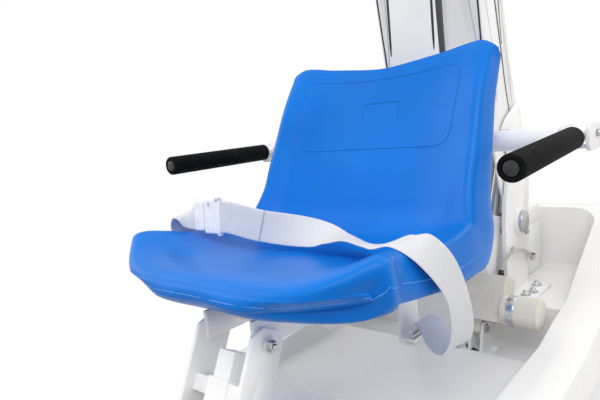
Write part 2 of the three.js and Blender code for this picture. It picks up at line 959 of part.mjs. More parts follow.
// Lifting arm, drawn in its own directions: along it, and back from it
const armLean = deg(armLeanDeg);
const alongArm = v2(-Math.sin(armLean), Math.cos(armLean));
const backFromArm = v2(Math.cos(armLean), Math.sin(armLean));
const onArm = (along, back) =>
  armPivot.clone().addScaledVector(alongArm, along).addScaledVector(backFromArm, back);
const headPivot = onArm(armReach, 0);
const tieBack = deg(tieBackDeg);
const tieOffset = v2(Math.sin(tieBack), Math.cos(tieBack)).multiplyScalar(tieLeverLength);
const rodBack = deg(rodPinBackDeg);
const rodPin = armPivot
  .clone()
  .add(v2(Math.sin(rodBack), Math.cos(rodBack)).multiplyScalar(rodPinRadius));

function liftArm() {
  const topEnd = armReach + armHeadAbove;
  const outline = [
    [topEnd, -armFrontDepth],
    ...armFrontOutline,
    ...armTailOutline,
    [topEnd, armBackDepth],
  ];
  const outer = outline.map(([along, back]) => onArm(along, back));
  const channel = acrossX(outer, -armHalfWidth, armHalfWidth);
  const innerHalf = armHalfWidth - armWall;
  const roomOutline = [
    onArm(topEnd + overrun, -armFrontDepth + armWall),
    onArm(lipEnd, -armFrontDepth + armWall),
    onArm(lipEnd, -armFrontDepth - overrun),
    onArm(-armTailDrop - overrun, -armFrontDepth - overrun),
    onArm(-armTailDrop - overrun, 0),
    ...armTailOutline
      .filter(([, back]) => back > armBackDepth / 2)
      .map(([along, back]) => onArm(along, back - armWall)),
    onArm(topEnd + overrun, armBackDepth - armWall),
  ];
  const room = acrossX(roomOutline, -innerHalf, innerHalf);
  const slot = acrossX(
    [
      onArm(topEnd + overrun, -armFrontDepth - overrun),
      onArm(armSlotFoot, -armFrontDepth - overrun),
      onArm(armSlotFoot, -armFrontDepth + armWall + overrun),
      onArm(topEnd + overrun, -armFrontDepth + armWall + overrun),
    ],
    -armSlotHalf,
    armSlotHalf,
  );
  const bosses = [-1, 1].flatMap((side) =>
    [
      [armPivot, bushRadius],
      [headPivot, headBushRadius],
    ].map(([at, radius]) => {
      const xs = [side * (innerHalf - bushDepth), side * (innerHalf + clearance)];
      return barX(Math.min(...xs), Math.max(...xs), at.x, at.y, radius, 24);
    }),
  );
  const lug = acrossX(
    [
      onArm(rodLugLow, rodLugRoot),
      onArm(rodLugLow, rodLugTip),
      onArm(rodLugHigh, rodLugTip),
      onArm(rodLugHigh, rodLugRoot),
    ],
    actuatorX - rodEyeWidth / 2 - runningGap - rodLugThickness,
    actuatorX - rodEyeWidth / 2 - runningGap,
  );
  const bores = [
    barX(-armHalfWidth - overrun, armHalfWidth + overrun, armPivot.x, armPivot.y, shaftBore, 28),
    barX(-armHalfWidth - overrun, armHalfWidth + overrun, headPivot.x, headPivot.y, headBore, 24),
    barX(0, armHalfWidth + overrun, rodPin.x, rodPin.y, actuatorPinRadius + clearance, 16),
  ];
  const reliefs = armReliefs.map(([lowX, highX, lowY, highY, lowZ, highZ]) =>
    block(v3(lowX, lowY, lowZ), v3(highX, highY, highZ)),
  );
  return cut(joined(cut(channel, room, slot), ...bosses, lug), ...bores, ...reliefs);
}
piece("lift_arm", liftArm(), finishes.whiteCoat);

// Plug-in cap over the arm's upper end
const capLow = armReach + armHeadAbove + clearance;
piece(
  "arm_cap",
  joined(
    acrossX(
      [
        onArm(capLow, -armFrontDepth),
        onArm(capLow, armBackDepth),
        onArm(capLow + capThickness * capSlopeShare, armBackDepth),
        onArm(capLow + capThickness, armBackDepth - capThickness),
        onArm(capLow + capThickness, capThickness - armFrontDepth),
        onArm(capLow + capThickness * capSlopeShare, -armFrontDepth),
      ],
      -armHalfWidth,
      armHalfWidth,
    ),
    acrossX(
      [
        onArm(capLow - capPlug, armWall + clearance - armFrontDepth),
        onArm(capLow - capPlug, armBackDepth - armWall - clearance),
        onArm(capLow + clearance, armBackDepth - armWall - clearance),
        onArm(capLow + clearance, armWall + clearance - armFrontDepth),
      ],
      -armHalfWidth + armWall + clearance,
      armHalfWidth - armWall - clearance,
    ),
  ),
  finishes.whitePlastic,
);

// Push handle on the arm's back: a tube bent to a bow
function pushHandle() {
  const at = (x, back) => {
    const p = onArm(handleAlong, armBackDepth + clearance + back);
    return v3(x, p.x, p.y);
  };
  const half = [
    [handleFootX, 0],
    [handleFootX, handleReach / 2],
    [handleHalfWidth, handleReach - handleRadius],
    [handleFootX, handleReach],
  ];
  const mirrored = half.slice().reverse();
  const path = [...half.map(([x, back]) => at(-x, back)), ...mirrored.map(([x, back]) => at(x, back))];
  const feet = [-1, 1].map((side) =>
    bar(at(side * handleFootX, 0), at(side * handleFootX, armWall), handleRadius * 2, 16),
  );
  return joined(tubeAlong(path, handleRadius, 8, 22), ...feet);
}
piece("push_handle", pushHandle(), finishes.whiteCoat);

// Levelling linkage: a lever held still on the shaft, one on the head, and a rod between
const tieSide = -tieX;
const leverOuter = tieSide + tieEyeWidth / 2 + runningGap;
function lever(pivot, hubRadius, bore) {
  const tip = pivot.clone().add(tieOffset);
  const side = v2(tieOffset.y, -tieOffset.x).normalize().multiplyScalar(tieEyeRadius);
  const outline = [
    pivot.clone().add(side),
    pivot.clone().sub(side),
    tip.clone().sub(side),
    tip.clone().add(side),
  ];
  const capEnd = tieSide - tieEyeWidth / 2 - runningGap;
  const solid = joined(
    barX(leverOuter, leverOuter + leverHubLength, pivot.x, pivot.y, hubRadius, 28),
    barX(leverOuter, leverOuter + leverThickness, tip.x, tip.y, tieEyeRadius, 20),
    acrossX(outline, leverOuter, leverOuter + leverThickness),
    barX(capEnd - pinCapDepth, leverOuter + leverThickness / 2, tip.x, tip.y, tiePinRadius, 16),
    barX(capEnd - pinCapDepth, capEnd, tip.x, tip.y, pinCapRadius, 16),
  );
  const hole = barX(
    leverOuter - overrun,
    leverOuter + leverHubLength + overrun,
    pivot.x,
    pivot.y,
    bore,
    28,
  );
  return cut(solid, hole);
}
piece("level_lever_base", lever(armPivot, leverHubRadius, pivotShaftRadius + clearance), finishes.whiteCoat);
piece("level_lever_head", lever(headPivot, headBushRadius, headPinRadius + clearance), finishes.whiteCoat);

const tieLow = armPivot.clone().add(tieOffset);
const tieHigh = headPivot.clone().add(tieOffset);
function tieRod() {
  const eye = (at) =>
    barX(tieSide - tieEyeWidth / 2, tieSide + tieEyeWidth / 2, at.x, at.y, tieEyeRadius, 20);
  const hole = (at) =>
    barX(
      tieSide - tieEyeWidth / 2 - overrun,
      tieSide + tieEyeWidth / 2 + overrun,
      at.x,
      at.y,
      tiePinRadius + runningGap,
      16,
    );
  const rod = bar(
    v3(tieSide, tieLow.x, tieLow.y),
    v3(tieSide, tieHigh.x, tieHigh.y),
    tieRodRadius,
    16,
  );
  return cut(joined(rod, eye(tieLow), eye(tieHigh)), hole(tieLow), hole(tieHigh));
}
piece("tie_rod", tieRod(), finishes.whiteCoat);

// Head shaft, and the hanger column that turns with it
const headShaftHalf = armHalfWidth + runningGap;
piece(
  "head_shaft",
  joined(
    barX(-headShaftHalf, headShaftHalf, headPivot.x, headPivot.y, headPinRadius, 24),
    ...[-1, 1].map((side) => {
      const ends = [side * headShaftHalf, side * (headShaftHalf + pinCapDepth)].sort((a, b) => a - b);
      return barX(...ends, headPivot.x, headPivot.y, headBushRadius, 24);
    }),
  ),
  finishes.steel,
);

const columnBackY = columnFrontY + columnDepth;
const columnTop = headPivot.y + headBushRadius;
piece(
  "hanger_column",
  cut(
    joined(
      cut(
        block(
          v3(-columnHalfWidth, columnFrontY, columnBottom),
          v3(columnHalfWidth, columnBackY, columnTop),
        ),
        block(
          v3(-columnHalfWidth + columnWall, columnFrontY + columnWall, columnBottom - overrun),
          v3(columnHalfWidth - columnWall, columnBackY - columnWall, columnTop + overrun),
        ),
      ),
      barX(-columnBushHalf, columnBushHalf, headPivot.x, headPivot.y, headBushRadius, 24),
    ),
    barX(
      -columnBushHalf - overrun,
      columnBushHalf + overrun,
      headPivot.x,
      headPivot.y,
      headPinRadius + clearance,
      24,
    ),
  ),
  finishes.whiteCoat,
);

// Column rest: a folded upright on the tub floor, which the hanger column stands over at rest
const restHalf = columnHalfWidth - columnRestInset;
const restTop = columnBottom - columnRestGap;
const restInnerY = columnFrontY + columnWall;
const restBackY = columnBackY - columnRestInset;
const restFootZ = wellHeight + clearance;
const restStemX = floorSlotX - columnRestFootInset * 2;
const restFace = roundedRectangle(-restHalf, restHalf, columnRestBottom, restTop, columnRestRound);
piece(
  "column_rest",
  joined(
    upZ(restFace, -restInnerY, -columnFrontY).rotate(uprightTurn),
    ...[-1, 1].map((side) => {
      const walls = [side * restHalf, side * (restHalf - columnWall)].sort((a, b) => a - b);
      return block(
        v3(walls[0], columnFrontY + clearance, columnRestBottom + columnRestRound),
        v3(walls[1], restBackY, restTop - columnRestRound),
      );
    }),
    block(
      v3(restStemX - columnRestStemWidth, restInnerY - clearance, restFootZ),
      v3(restStemX, restInnerY + columnWall, columnRestStemTop),
    ),
    block(
      v3(restStemX - columnRestStemWidth - columnRestFootInset, restInnerY - clearance, restFootZ),
      v3(restStemX + columnRestFootInset, restBackY, restFootZ + columnWall),
    ),
  ),
  finishes.whiteCoat,
);

// Actuator, drawn in its own directions: up along it, and back from it
const footPin = v2(footPinY, footPinHeight);
const alongActuator = rodPin.clone().sub(footPin).normalize();
const actuatorLength = rodPin.distanceTo(footPin);
const backFromActuator = v2(alongActuator.y, -alongActuator.x);
const onActuator = (along, back) =>
  footPin.clone().addScaledVector(alongActuator, along).addScaledVector(backFromActuator, back);
const actuatorPoint = (x, along, back = 0) => {
  const p = onActuator(along, back);
  return v3(x, p.x, p.y);
};
const actuatorBar = (from, to, radius, sides) =>
  bar(actuatorPoint(actuatorX, from), actuatorPoint(actuatorX, to), radius, sides);
const actuatorBlock = (lowX, highX, low, high, frontDepth, backDepth = frontDepth) =>
  acrossX(
    [
      onActuator(low, -frontDepth),
      onActuator(low, backDepth),
      onActuator(high, backDepth),
      onActuator(high, -frontDepth),
    ],
    lowX,
    highX,
  );
const gearboxTop = gearboxLow + gearboxHeight;
const rodBottom = spindleTubeEnd - rodOverlap;
const boreFoot = rodBottom - rodStroke - overrun;

piece(
  "actuator_gearbox",
  cut(
    joined(
      actuatorBlock(gearboxLowX, gearboxHighX, gearboxLow, gearboxTop, gearboxFront, gearboxBack),
      actuatorBlock(
        actuatorX - footEyeWidth / 2,
        actuatorX + footEyeWidth / 2,
        0,
        gearboxLow + clearance,
        footEyeRadius,
      ),
      barX(
        actuatorX - footEyeWidth / 2,
        actuatorX + footEyeWidth / 2,
        footPin.x,
        footPin.y,
        footEyeRadius,
        24,
      ),
    ),
    barX(
      actuatorX - footEyeWidth,
      actuatorX + footEyeWidth,
      footPin.x,
      footPin.y,
      actuatorPinRadius + runningGap,
      16,
    ),
    actuatorBar(boreFoot, gearboxTop + overrun, rodRadius + runningGap, 20),
  ),
  finishes.beigeHousing,
);
piece(
  "actuator_motor",
  bar(
    actuatorPoint(gearboxHighX + clearance, motorAlong, -motorForward),
    actuatorPoint(motorReachX, motorAlong, -motorForward),
    motorRadius,
    32,
  ),
  finishes.beigeHousing,
);
piece(
  "actuator_tube",
  cut(
    actuatorBar(gearboxTop + clearance, spindleTubeEnd, spindleTubeRadius, 24),
    actuatorBar(gearboxTop - overrun, spindleTubeEnd + overrun, rodRadius + runningGap, 20),
  ),
  finishes.whitePlastic,
);

function actuatorRod() {
  const low = actuatorX - rodEyeWidth / 2;
  const high = actuatorX + rodEyeWidth / 2;
  const slotRound = actuatorPinRadius + rodEyePlay;
  const wide = slotRound + rodEyeWall;
  const eye = (radius, sides, beyond) => {
    const ends = [-rodEyeSlot, rodEyeSlot].map((shift) => {
      const p = onActuator(actuatorLength + shift, 0);
      return barX(low - beyond, high + beyond, p.x, p.y, radius, sides);
    });
    const between = actuatorBlock(
      low - beyond,
      high + beyond,
      actuatorLength - rodEyeSlot,
      actuatorLength + rodEyeSlot,
      radius,
    );
    return joined(...ends, between);
  };
  const rod = actuatorBar(rodBottom, actuatorLength - rodEyeSlot - slotRound - clearance, rodRadius, 20);
  return cut(joined(rod, eye(wide, 20, 0)), eye(slotRound, 16, overrun));
}
piece("actuator_rod", actuatorRod(), finishes.steel);

const rodPinInner = actuatorX - rodEyeWidth / 2 - runningGap - rodLugThickness;
const rodPinOuter = armHalfWidth + clearance;
const rodPinEnd = rodPinOuter + rodCapDepth;
piece(
  "actuator_rod_pin",
  joined(
    barX(rodPinInner - pinCapDepth, rodPinEnd, rodPin.x, rodPin.y, actuatorPinRadius, 16),
    barX(rodPinOuter, rodPinEnd, rodPin.x, rodPin.y, pinCapRadius, 16),
  ),
  finishes.steel,
);

// Foot bracket for the actuator, on the well's floor
const footCheekGap = footEyeWidth / 2 + runningGap;
const footBase = wellHeight + clearance;
function footBracket() {
  const cheek = (low) =>
    joined(
      acrossX(
        [
          v2(footPin.x - footHalfDepth, footBase),
          v2(footPin.x + footHalfDepth, footBase),
          v2(footPin.x + footEyeRadius, footPin.y),
          v2(footPin.x - footEyeRadius, footPin.y),
        ],
        low,
        low + footPlate,
      ),
      barX(low, low + footPlate, footPin.x, footPin.y, footEyeRadius, 24),
    );
  const plate = block(
    v3(actuatorX - footHalfWidth, footPin.x - footHalfDepth, footBase),
    v3(actuatorX + footHalfWidth, footPin.x + footHalfDepth, footBase + footPlate),
  );
  const bolts = [-1, 1].map((side) =>
    barZ(
      actuatorX + side * (footHalfWidth - nutRadius - clearance),
      footPin.x,
      footBase + footPlate - clearance,
      footBase + footPlate + nutHeight,
      nutRadius,
      6,
    ),
  );
  const hole = barX(
    actuatorX - footHalfWidth,
    actuatorX + footHalfWidth,
    footPin.x,
    footPin.y,
    actuatorPinRadius + clearance,
    16,
  );
  return cut(
    joined(plate, cheek(actuatorX - footCheekGap - footPlate), cheek(actuatorX + footCheekGap), ...bolts),
    hole,
  );
}
piece("actuator_foot", footBracket(), finishes.whiteCoat);

const footPinHalf = footCheekGap + footPlate + clearance;
piece(
  "actuator_foot_pin",
  joined(
    barX(
      actuatorX - footPinHalf - pinCapDepth,
      actuatorX + footPinHalf + pinCapDepth,
      footPin.x,
      footPin.y,
      actuatorPinRadius,
      16,
    ),
    barX(
      actuatorX + footPinHalf,
      actuatorX + footPinHalf + pinCapDepth,
      footPin.x,
      footPin.y,
      pinCapRadius,
      16,
    ),
    barX(
      actuatorX - footPinHalf - pinCapDepth,
      actuatorX - footPinHalf,
      footPin.x,
      footPin.y,
      pinCapRadius,
      16,
    ),
  ),
  finishes.steel,
);

// Seat frame: two side plates, tied together and set against the column
const plateTop = seatPlateTop;
const plateLow = seatPlateTop - seatPlateDepth;
const frameBackY = columnFrontY - clearance;
function seatFrame() {
  const outline = [
    v2(frameBackY, plateLow),
    v2(seatPlateFrontY, plateLow),
    v2(seatPlateFrontY, plateTop),
    v2(gussetFootY, plateTop),
    v2(-gussetReach, crossbarHeight - gussetReach),
    v2(-gussetReach, crossbarHeight + gussetReach),
    v2(frameBackY, crossbarHeight + gussetReach),
  ];
  const gussetWindow = [
    v2(frameBackY - gussetReach, plateTop + gussetReach / 2),
    v2(gussetFootY + gussetReach * 2, plateTop + gussetReach / 2),
    v2(gussetReach / 2, crossbarHeight - gussetReach * 2),
    v2(frameBackY - gussetReach, crossbarHeight - gussetReach * 2),
  ];
  const low = seatPlateX - seatPlateThickness / 2;
  const plates = [-low - seatPlateThickness, low].map((from) =>
    acrossX(outline, from, from + seatPlateThickness),
  );
  const back = block(
    v3(-columnHalfWidth + clearance, frameBackY - seatPlateThickness, plateLow),
    v3(columnHalfWidth - clearance, frameBackY, crossbarHeight + gussetReach),
  );
  const ties = seatTieYs.map((y) =>
    barX(-seatPlateX, seatPlateX, y, (plateTop + plateLow) / 2, seatTieRadius, 16),
  );
  const hole = barX(
    -seatPlateX - seatPlateThickness,
    seatPlateX + seatPlateThickness,
    0,
    crossbarHeight,
    crossbarRadius + clearance,
    28,
  );
  const openings = acrossX(gussetWindow, -seatPlateX * 2, seatPlateX * 2);
  return cut(joined(cut(joined(...plates), openings), back, ...ties), hole);
}
piece("seat_frame", seatFrame(), finishes.whiteCoat);

// Belt plates: bent straps that hang from the seat frame, each with its anchor
for (const [side, label] of [
  [1, "left"],
  [-1, "right"],
]) {
  const across = (low, high) => [side * low, side * high].sort((a, b) => a - b);
  const root = across(seatPlateX + seatPlateThickness / 2 + clearance, beltBarHalf);
  const leg = across(beltBarHalf - beltBarThickness, beltBarHalf);
  const anchor = across(beltBarHalf - clearance, beltBarHalf + anchorReach);
  const frontY = beltBarY - beltBarWidth / 2;
  const backY = beltBarY + beltBarWidth / 2;
  const round = beltBarWidth / 2;
  const shape = new THREE.Shape();
  shape.moveTo(frontY, plateTop);
  shape.lineTo(frontY, beltBarBottom + round);
  shape.absarc(beltBarY, beltBarBottom + round, round, Math.PI, 2 * Math.PI, false);
  shape.lineTo(backY, plateTop);
  const solid = joined(
    block(v3(root[0], frontY, plateTop - beltBarThickness), v3(root[1], backY, plateTop)),
    acrossX(shape, ...leg),
    block(
      v3(anchor[0], beltBarY - anchorHalf, anchorHeight),
      v3(anchor[1], beltBarY + anchorHalf, anchorHeight + anchorThickness),
    ),
    barX(
      ...across(beltBarHalf - beltBarThickness - nutHeight, beltBarHalf + nutHeight),
      beltBarY,
      beltBarBottom + round / 2,
      nutRadius,
      6,
    ),
  );
  const slotLow = beltBarHalf + anchorReach - anchorSlotEdge - anchorSlot;
  const slot = across(slotLow, slotLow + anchorSlot);
  piece(
    `belt_plate_${label}`,
    cut(
      solid,
      block(
        v3(slot[0], beltBarY - beltWidth / 2 - runningGap, anchorHeight - overrun),
        v3(slot[1], beltBarY + beltWidth / 2 + runningGap, anchorHeight + anchorThickness + overrun),
      ),
    ),
    finishes.whiteCoat,
  );
}

// Armrests: a crossbar with a clevis at each end, and a padded bar that flips up
const gripInner = gripX - clevisInnerGap - cheekThickness;
const crossbarEnd = gripInner - clearance;
piece(
  "crossbar",
  cut(
    barX(-crossbarEnd, crossbarEnd, 0, crossbarHeight, crossbarRadius, 32),
    barX(
      -crossbarEnd - overrun,
      crossbarEnd + overrun,
      0,
      crossbarHeight,
      crossbarRadius - crossbarWall,
      32,
    ),
  ),
  finishes.whiteCoat,
);
const restPivot = v2(armrestPivotY, crossbarHeight + armrestPivotLift);
for (const [side, label] of [
  [1, "left"],
  [-1, "right"],
]) {
  const across = (low, high) => [side * low, side * high].sort((a, b) => a - b);
  const droop = side > 0 ? deg(armrestDroopDeg) : 0;
  const onRest = (y) => {
    const reach = y - restPivot.x;
    return v3(
      side * gripX,
      restPivot.x + reach * Math.cos(droop),
      restPivot.y + reach * Math.sin(droop),
    );
  };
  const outerCheek = gripX + clevisInnerGap;
  const end = outerCheek + cheekThickness;
  const cheekShape = roundedRectangle(
    -cheekReach,
    restPivot.x + cheekReach,
    crossbarHeight - cheekReach,
    crossbarHeight + cheekReach,
    cheekReach / 2,
  ).getPoints(3);
  cheekShape.pop();
  const bracket = cut(
    joined(
      acrossX(cheekShape, ...across(gripInner, gripInner + cheekThickness)),
      acrossX(cheekShape, ...across(outerCheek, end)),
      block(
        v3(
          across(gripInner, end)[0],
          cheekThickness - cheekReach,
          crossbarHeight - cheekReach / 2 - cheekThickness,
        ),
        v3(
          across(gripInner, end)[1],
          cheekThickness * 2 - cheekReach,
          restPivot.y - gripTubeRadius - clearance - (restPivot.x + cheekReach) * Math.tan(droop),
        ),
      ),
      barX(
        ...across(crossbarEnd - cheekReach, gripInner + clearance),
        0,
        crossbarHeight,
        crossbarRadius - crossbarWall - clearance,
        24,
      ),
    ),
    barX(
      ...across(gripInner - overrun, end + overrun),
      restPivot.x,
      restPivot.y,
      armrestPinRadius + clearance,
      16,
    ),
  );
  piece(`armrest_bracket_${label}`, bracket, finishes.whiteCoat);
  const pinEnds = across(gripInner - clearance, end + clearance);
  const caps = across(gripInner - clearance - pinCapDepth, end + clearance + pinCapDepth);
  piece(
    `armrest_pin_${label}`,
    joined(
      barX(...caps, restPivot.x, restPivot.y, armrestPinRadius, 16),
      barX(caps[0], pinEnds[0], restPivot.x, restPivot.y, armrestPinRadius + runningGap, 16),
      barX(pinEnds[1], caps[1], restPivot.x, restPivot.y, armrestPinRadius + runningGap, 16),
    ),
    finishes.steel,
  );
  const tubeEnd = gripFrontY + gripRadius;
  const hub = clevisInnerGap - runningGap;
  piece(
    `armrest_tube_${label}`,
    cut(
      joined(
        bar(onRest(restPivot.x), onRest(tubeEnd), gripTubeRadius, 20),
        barX(...across(gripX - hub, gripX + hub), restPivot.x, restPivot.y, gripTubeRadius + runningGap, 20),
      ),
      barX(...across(gripInner, end), restPivot.x, restPivot.y, armrestPinRadius + runningGap, 16),
    ),
    finishes.whiteCoat,
  );
  piece(
    `armrest_grip_${label}`,
    cut(
      bar(onRest(gripRearY), onRest(gripFrontY), gripRadius, 28),
      bar(
        onRest(gripRearY + overrun),
        onRest(tubeEnd - clearance),
        gripTubeRadius + clearance,
        20,
      ),
    ),
    finishes.blackFoam,
  );
}

// Seat: one moulded shell, lofted from the front lip over the pan and up the back
const seatUnderside = plateTop + clearance;
function seatShell() {
  const centres = seatStations.map(([y, z]) => v2(y, z));
  const rings = seatStations.map(([y, z, half, rise, thickness, corner], i) => {
    const before = centres[Math.max(0, i - 1)];
    const after = centres[Math.min(centres.length - 1, i + 1)];
    const along = corner < 0 ? v2(1, 0) : after.clone().sub(before).normalize();
    const up = v2(-along.y, along.x);
    const deep = thickness || z - seatUnderside;
    const edge = Math.min(seatEdgeRound, (rise + deep) / 3);
    const slopedSkirt = Math.max(skirtLeast, (skirtRearY - y) * skirtSlopeShare);
    const skirt = Math.min(slopedSkirt, (rise + deep) * skirtMostShare);
    const hull = hullShare * Math.min(1, (y - seatFrontY) / hullRun) * skirt;
    const place = (share, height, planShare = Math.abs(share)) => {
      const lobe = Math.min(1, planShare / cornerPeakShare);
      const start = corner < 0 ? noseRoundShare : cornerPeakShare;
      const fall = Math.max(0, (planShare - start) / (1 - start));
      const lift = corner > 0 ? cornerLift * lobe ** cornerLiftPower - backDip : 0;
      const shift = lift - corner * fall * fall;
      return v3(
        share * half,
        y + up.x * height + along.x * shift,
        z + up.y * height + along.y * shift,
      );
    };
    const top = seatCrossShares.map(([share, height]) => place(share, rise * height));
    const topLeft = seatCrossShares
      .slice(1)
      .reverse()
      .map(([share, height]) => place(-share, rise * height));
    const under = [1, underShare, underShare / 2, 0, -underShare / 2, -underShare, -1];
    return [
      ...topLeft,
      ...top,
      place(1, rise - edge),
      ...under.map((share) => {
        const inward = Math.abs(share / underShare);
        return Math.abs(share) === 1
          ? place(share, skirt - deep)
          : place(share, hull * inward * inward - deep, inward);
      }),
      place(-1, rise - edge),
    ];
  });
  return loft(rings, true);
}
piece("seat_shell", seatShell(), finishes.blueShell);

// Lap belt: flat webbing along a route of places, each with the way that its width points
function ribbon(route, width, thickness, steps) {
  const line = new THREE.CatmullRomCurve3(
    route.map(([x, y, z]) => v3(x, y, z)),
    false,
    "centripetal",
  );
  const turns = new THREE.CatmullRomCurve3(
    route.map(([, , , x, y, z]) => v3(x, y, z)),
    false,
    "catmullrom",
    0.5,
  );
  const rings = [];
  for (let i = 0; i <= steps; i++) {
    const t = i / steps;
    const at = line.getPoint(t);
    const tangent = line.getTangent(t);
    const across = turns.getPoint(t);
    across.addScaledVector(tangent, -across.dot(tangent)).normalize();
    const out = tangent.clone().cross(across).normalize();
    const corner = (a, b) =>
      at.clone().addScaledVector(across, (a * width) / 2).addScaledVector(out, (b * thickness) / 2);
    rings.push([corner(-1, -1), corner(1, -1), corner(1, 1), corner(-1, 1)]);
  }
  return loft(rings, false, [2]);
}
piece("belt_left", ribbon(beltLeftRoute, beltWidth, beltThickness, 56), finishes.whiteWebbing);
piece("belt_right", ribbon(beltRightRoute, beltWidth, beltThickness, 48), finishes.whiteWebbing);
piece(
  "buckle_body",
  ribbon(buckleBodyRoute, buckleWidth, buckleThickness, 2),
  finishes.whitePlastic,
);
piece(
  "buckle_tongue",
  ribbon(buckleTongueRoute, buckleWidth * tongueShare, buckleThickness * tongueShare, 2),
  finishes.whitePlastic,
);

// Footrest: a post that slides in a slanted sleeve, with a board that folds up
const slant = deg(legSlantDeg);
const legRoot = v2(legRootY, legRootHeight);
const downLeg = v2(-Math.sin(slant), -Math.cos(slant));
const backFromLeg = v2(Math.cos(slant), -Math.sin(slant));
const onLeg = (down, back) =>
  legRoot.clone().addScaledVector(downLeg, down).addScaledVector(backFromLeg, back);
const legBlock = (lowX, highX, from, to, half) =>
  acrossX([onLeg(from, -half), onLeg(to, -half), onLeg(to, half), onLeg(from, half)], lowX, highX);
const legPlateX = seatPlateX + seatPlateThickness / 2 + clearance;

for (const [side, label] of [
  [1, "left"],
  [-1, "right"],
]) {
  const across = (low, high) => [side * low, side * high].sort((a, b) => a - b);
  const corner = legWidth / 4;
  const outline = [
    onLeg(legTopDown, -legWidth / 2 + corner),
    onLeg(legTopDown + corner, -legWidth / 2),
    onLeg(legLength - corner, -legWidth / 2),
    onLeg(legLength, -legWidth / 2 + corner),
    onLeg(legLength, legWidth / 2 - corner),
    onLeg(legLength - corner, legWidth / 2),
    onLeg(legTopDown + corner, legWidth / 2),
    onLeg(legTopDown, legWidth / 2 - corner),
  ];
  const boltXs = across(
    legPlateX + seatPlateThickness - clearance,
    legPlateX + seatPlateThickness + nutHeight,
  );
  const bolts = legBoltsDown.map((down) => {
    const p = onLeg(down, 0);
    return barX(...boltXs, p.x, p.y, nutRadius, 12);
  });
  piece(
    `leg_plate_${label}`,
    joined(acrossX(outline, ...across(legPlateX, legPlateX + seatPlateThickness)), ...bolts),
    finishes.whiteCoat,
  );
}

const sleeveBore = postSide / 2 + runningGap / 2;
const sleeveHalf = sleeveBore + sleeveWall;
const sleeveReach = legPlateX - clearance;
piece(
  "footrest_sleeve",
  cut(
    joined(
      legBlock(-sleeveHalf, sleeveHalf, sleeveStart, sleeveStart + sleeveLength, sleeveHalf),
      ...[sleeveStart + sleeveWall, sleeveStart + sleeveLength - sleeveWall - sleeveEarLength].map((from) =>
        legBlock(-sleeveReach, sleeveReach, from, from + sleeveEarLength, sleeveHalf - sleeveWall),
      ),
    ),
    legBlock(
      -sleeveBore,
      sleeveBore,
      sleeveStart - overrun,
      sleeveStart + sleeveLength + overrun,
      sleeveBore,
    ),
  ),
  finishes.whiteCoat,
);

const boardPivot = onLeg(postStart + postLength, 0);
piece(
  "footrest_post",
  joined(
    cut(
      legBlock(
        -postSide / 2,
        postSide / 2,
        postStart,
        postStart + postLength - boardPinRadius,
        postSide / 2,
      ),
      legBlock(
        postWall - postSide / 2,
        postSide / 2 - postWall,
        postStart - overrun,
        postStart + postLength - boardHubRadius * 2,
        postSide / 2 - postWall,
      ),
    ),
    barX(-postSide / 2, postSide / 2, boardPivot.x, boardPivot.y, boardHubRadius, 20),
    barX(-boardPinHalf, boardPinHalf, boardPivot.x, boardPivot.y, boardPinRadius, 16),
  ),
  finishes.whiteCoat,
);

function footBoard() {
  const notchHalf = postSide / 2 + runningGap * 2;
  const rearY = boardPivot.x - boardSetback;
  const plate = cut(
    block(
      v3(-footPlateWidth / 2, rearY - footPlateDepth, boardPivot.y - footPlateThickness / 2),
      v3(footPlateWidth / 2, rearY, boardPivot.y + footPlateThickness / 2),
    ),
    block(
      v3(-notchHalf, rearY - boardNotch, boardPivot.y - footPlateThickness),
      v3(notchHalf, rearY + overrun, boardPivot.y + footPlateThickness),
    ),
  );
  const hubs = [-1, 1].flatMap((side) => {
    const xs = [side * notchHalf, side * (boardPinHalf - clearance)].sort((a, b) => a - b);
    return [
      barX(...xs, boardPivot.x, boardPivot.y, boardHubRadius, 20),
      block(
        v3(xs[0], rearY - overrun, boardPivot.y - footPlateThickness / 2),
        v3(xs[1], boardPivot.x, boardPivot.y + footPlateThickness / 2),
      ),
    ];
  });
  const bore = barX(
    -boardPinHalf - overrun,
    boardPinHalf + overrun,
    boardPivot.x,
    boardPivot.y,
    boardPinRadius + runningGap,
    16,
  );
  return cut(joined(plate, ...hubs), bore);
}
piece("footrest_board", footBoard(), finishes.whitePlastic);

// Rear boxes on the plinth: battery below, control box above
const boxFoot = plinthHeight + clearance;
const batteryTop = boxFoot + batteryHeight;
const controlFoot = batteryTop + clearance;
const controlTop = controlFoot + controlHeight;
const boxRearY = batteryFrontY + batteryDepth;
const boxPlan = roundedRectangle(-batteryHalfWidth, batteryHalfWidth, batteryFrontY, boxRearY, boxRound);
piece("battery_box", upZ(boxPlan, boxFoot, batteryTop), finishes.whitePlastic);

const buttonY = batteryFrontY + batteryDepth / 2;
function controlBox() {
  const stopHole = barZ(
    stopX,
    buttonY,
    controlTop - buttonWell,
    controlTop + overrun,
    stopStem + runningGap,
    20,
  );
  const keyHoles = keyXs.map((x) =>
    barZ(x, buttonY, controlTop - buttonWell, controlTop + overrun, keyRadius + runningGap, 20),
  );
  return cut(upZ(boxPlan, controlFoot, controlTop), stopHole, ...keyHoles);
}
piece("control_box", controlBox(), finishes.whitePlastic);
piece(
  "stop_button",
  joined(
    barZ(
      stopX,
      buttonY,
      controlTop - buttonWell + stopTravel + runningGap,
      controlTop + stopTravel * 2,
      stopStem,
      20,
    ),
    barZ(
      stopX,
      buttonY,
      controlTop + stopTravel + runningGap,
      controlTop + stopTravel + stopCapDepth,
      stopRadius,
      28,
    ),
  ),
  finishes.redButton,
);
keyXs.forEach((x, i) =>
  piece(
    i ? "key_up" : "key_down",
    barZ(
      x,
      buttonY,
      controlTop - buttonWell + keyTravel + runningGap,
      controlTop + keyTravel,
      keyRadius,
      20,
    ),
    i ? finishes.greenButton : finishes.blackPlastic,
  ),
);

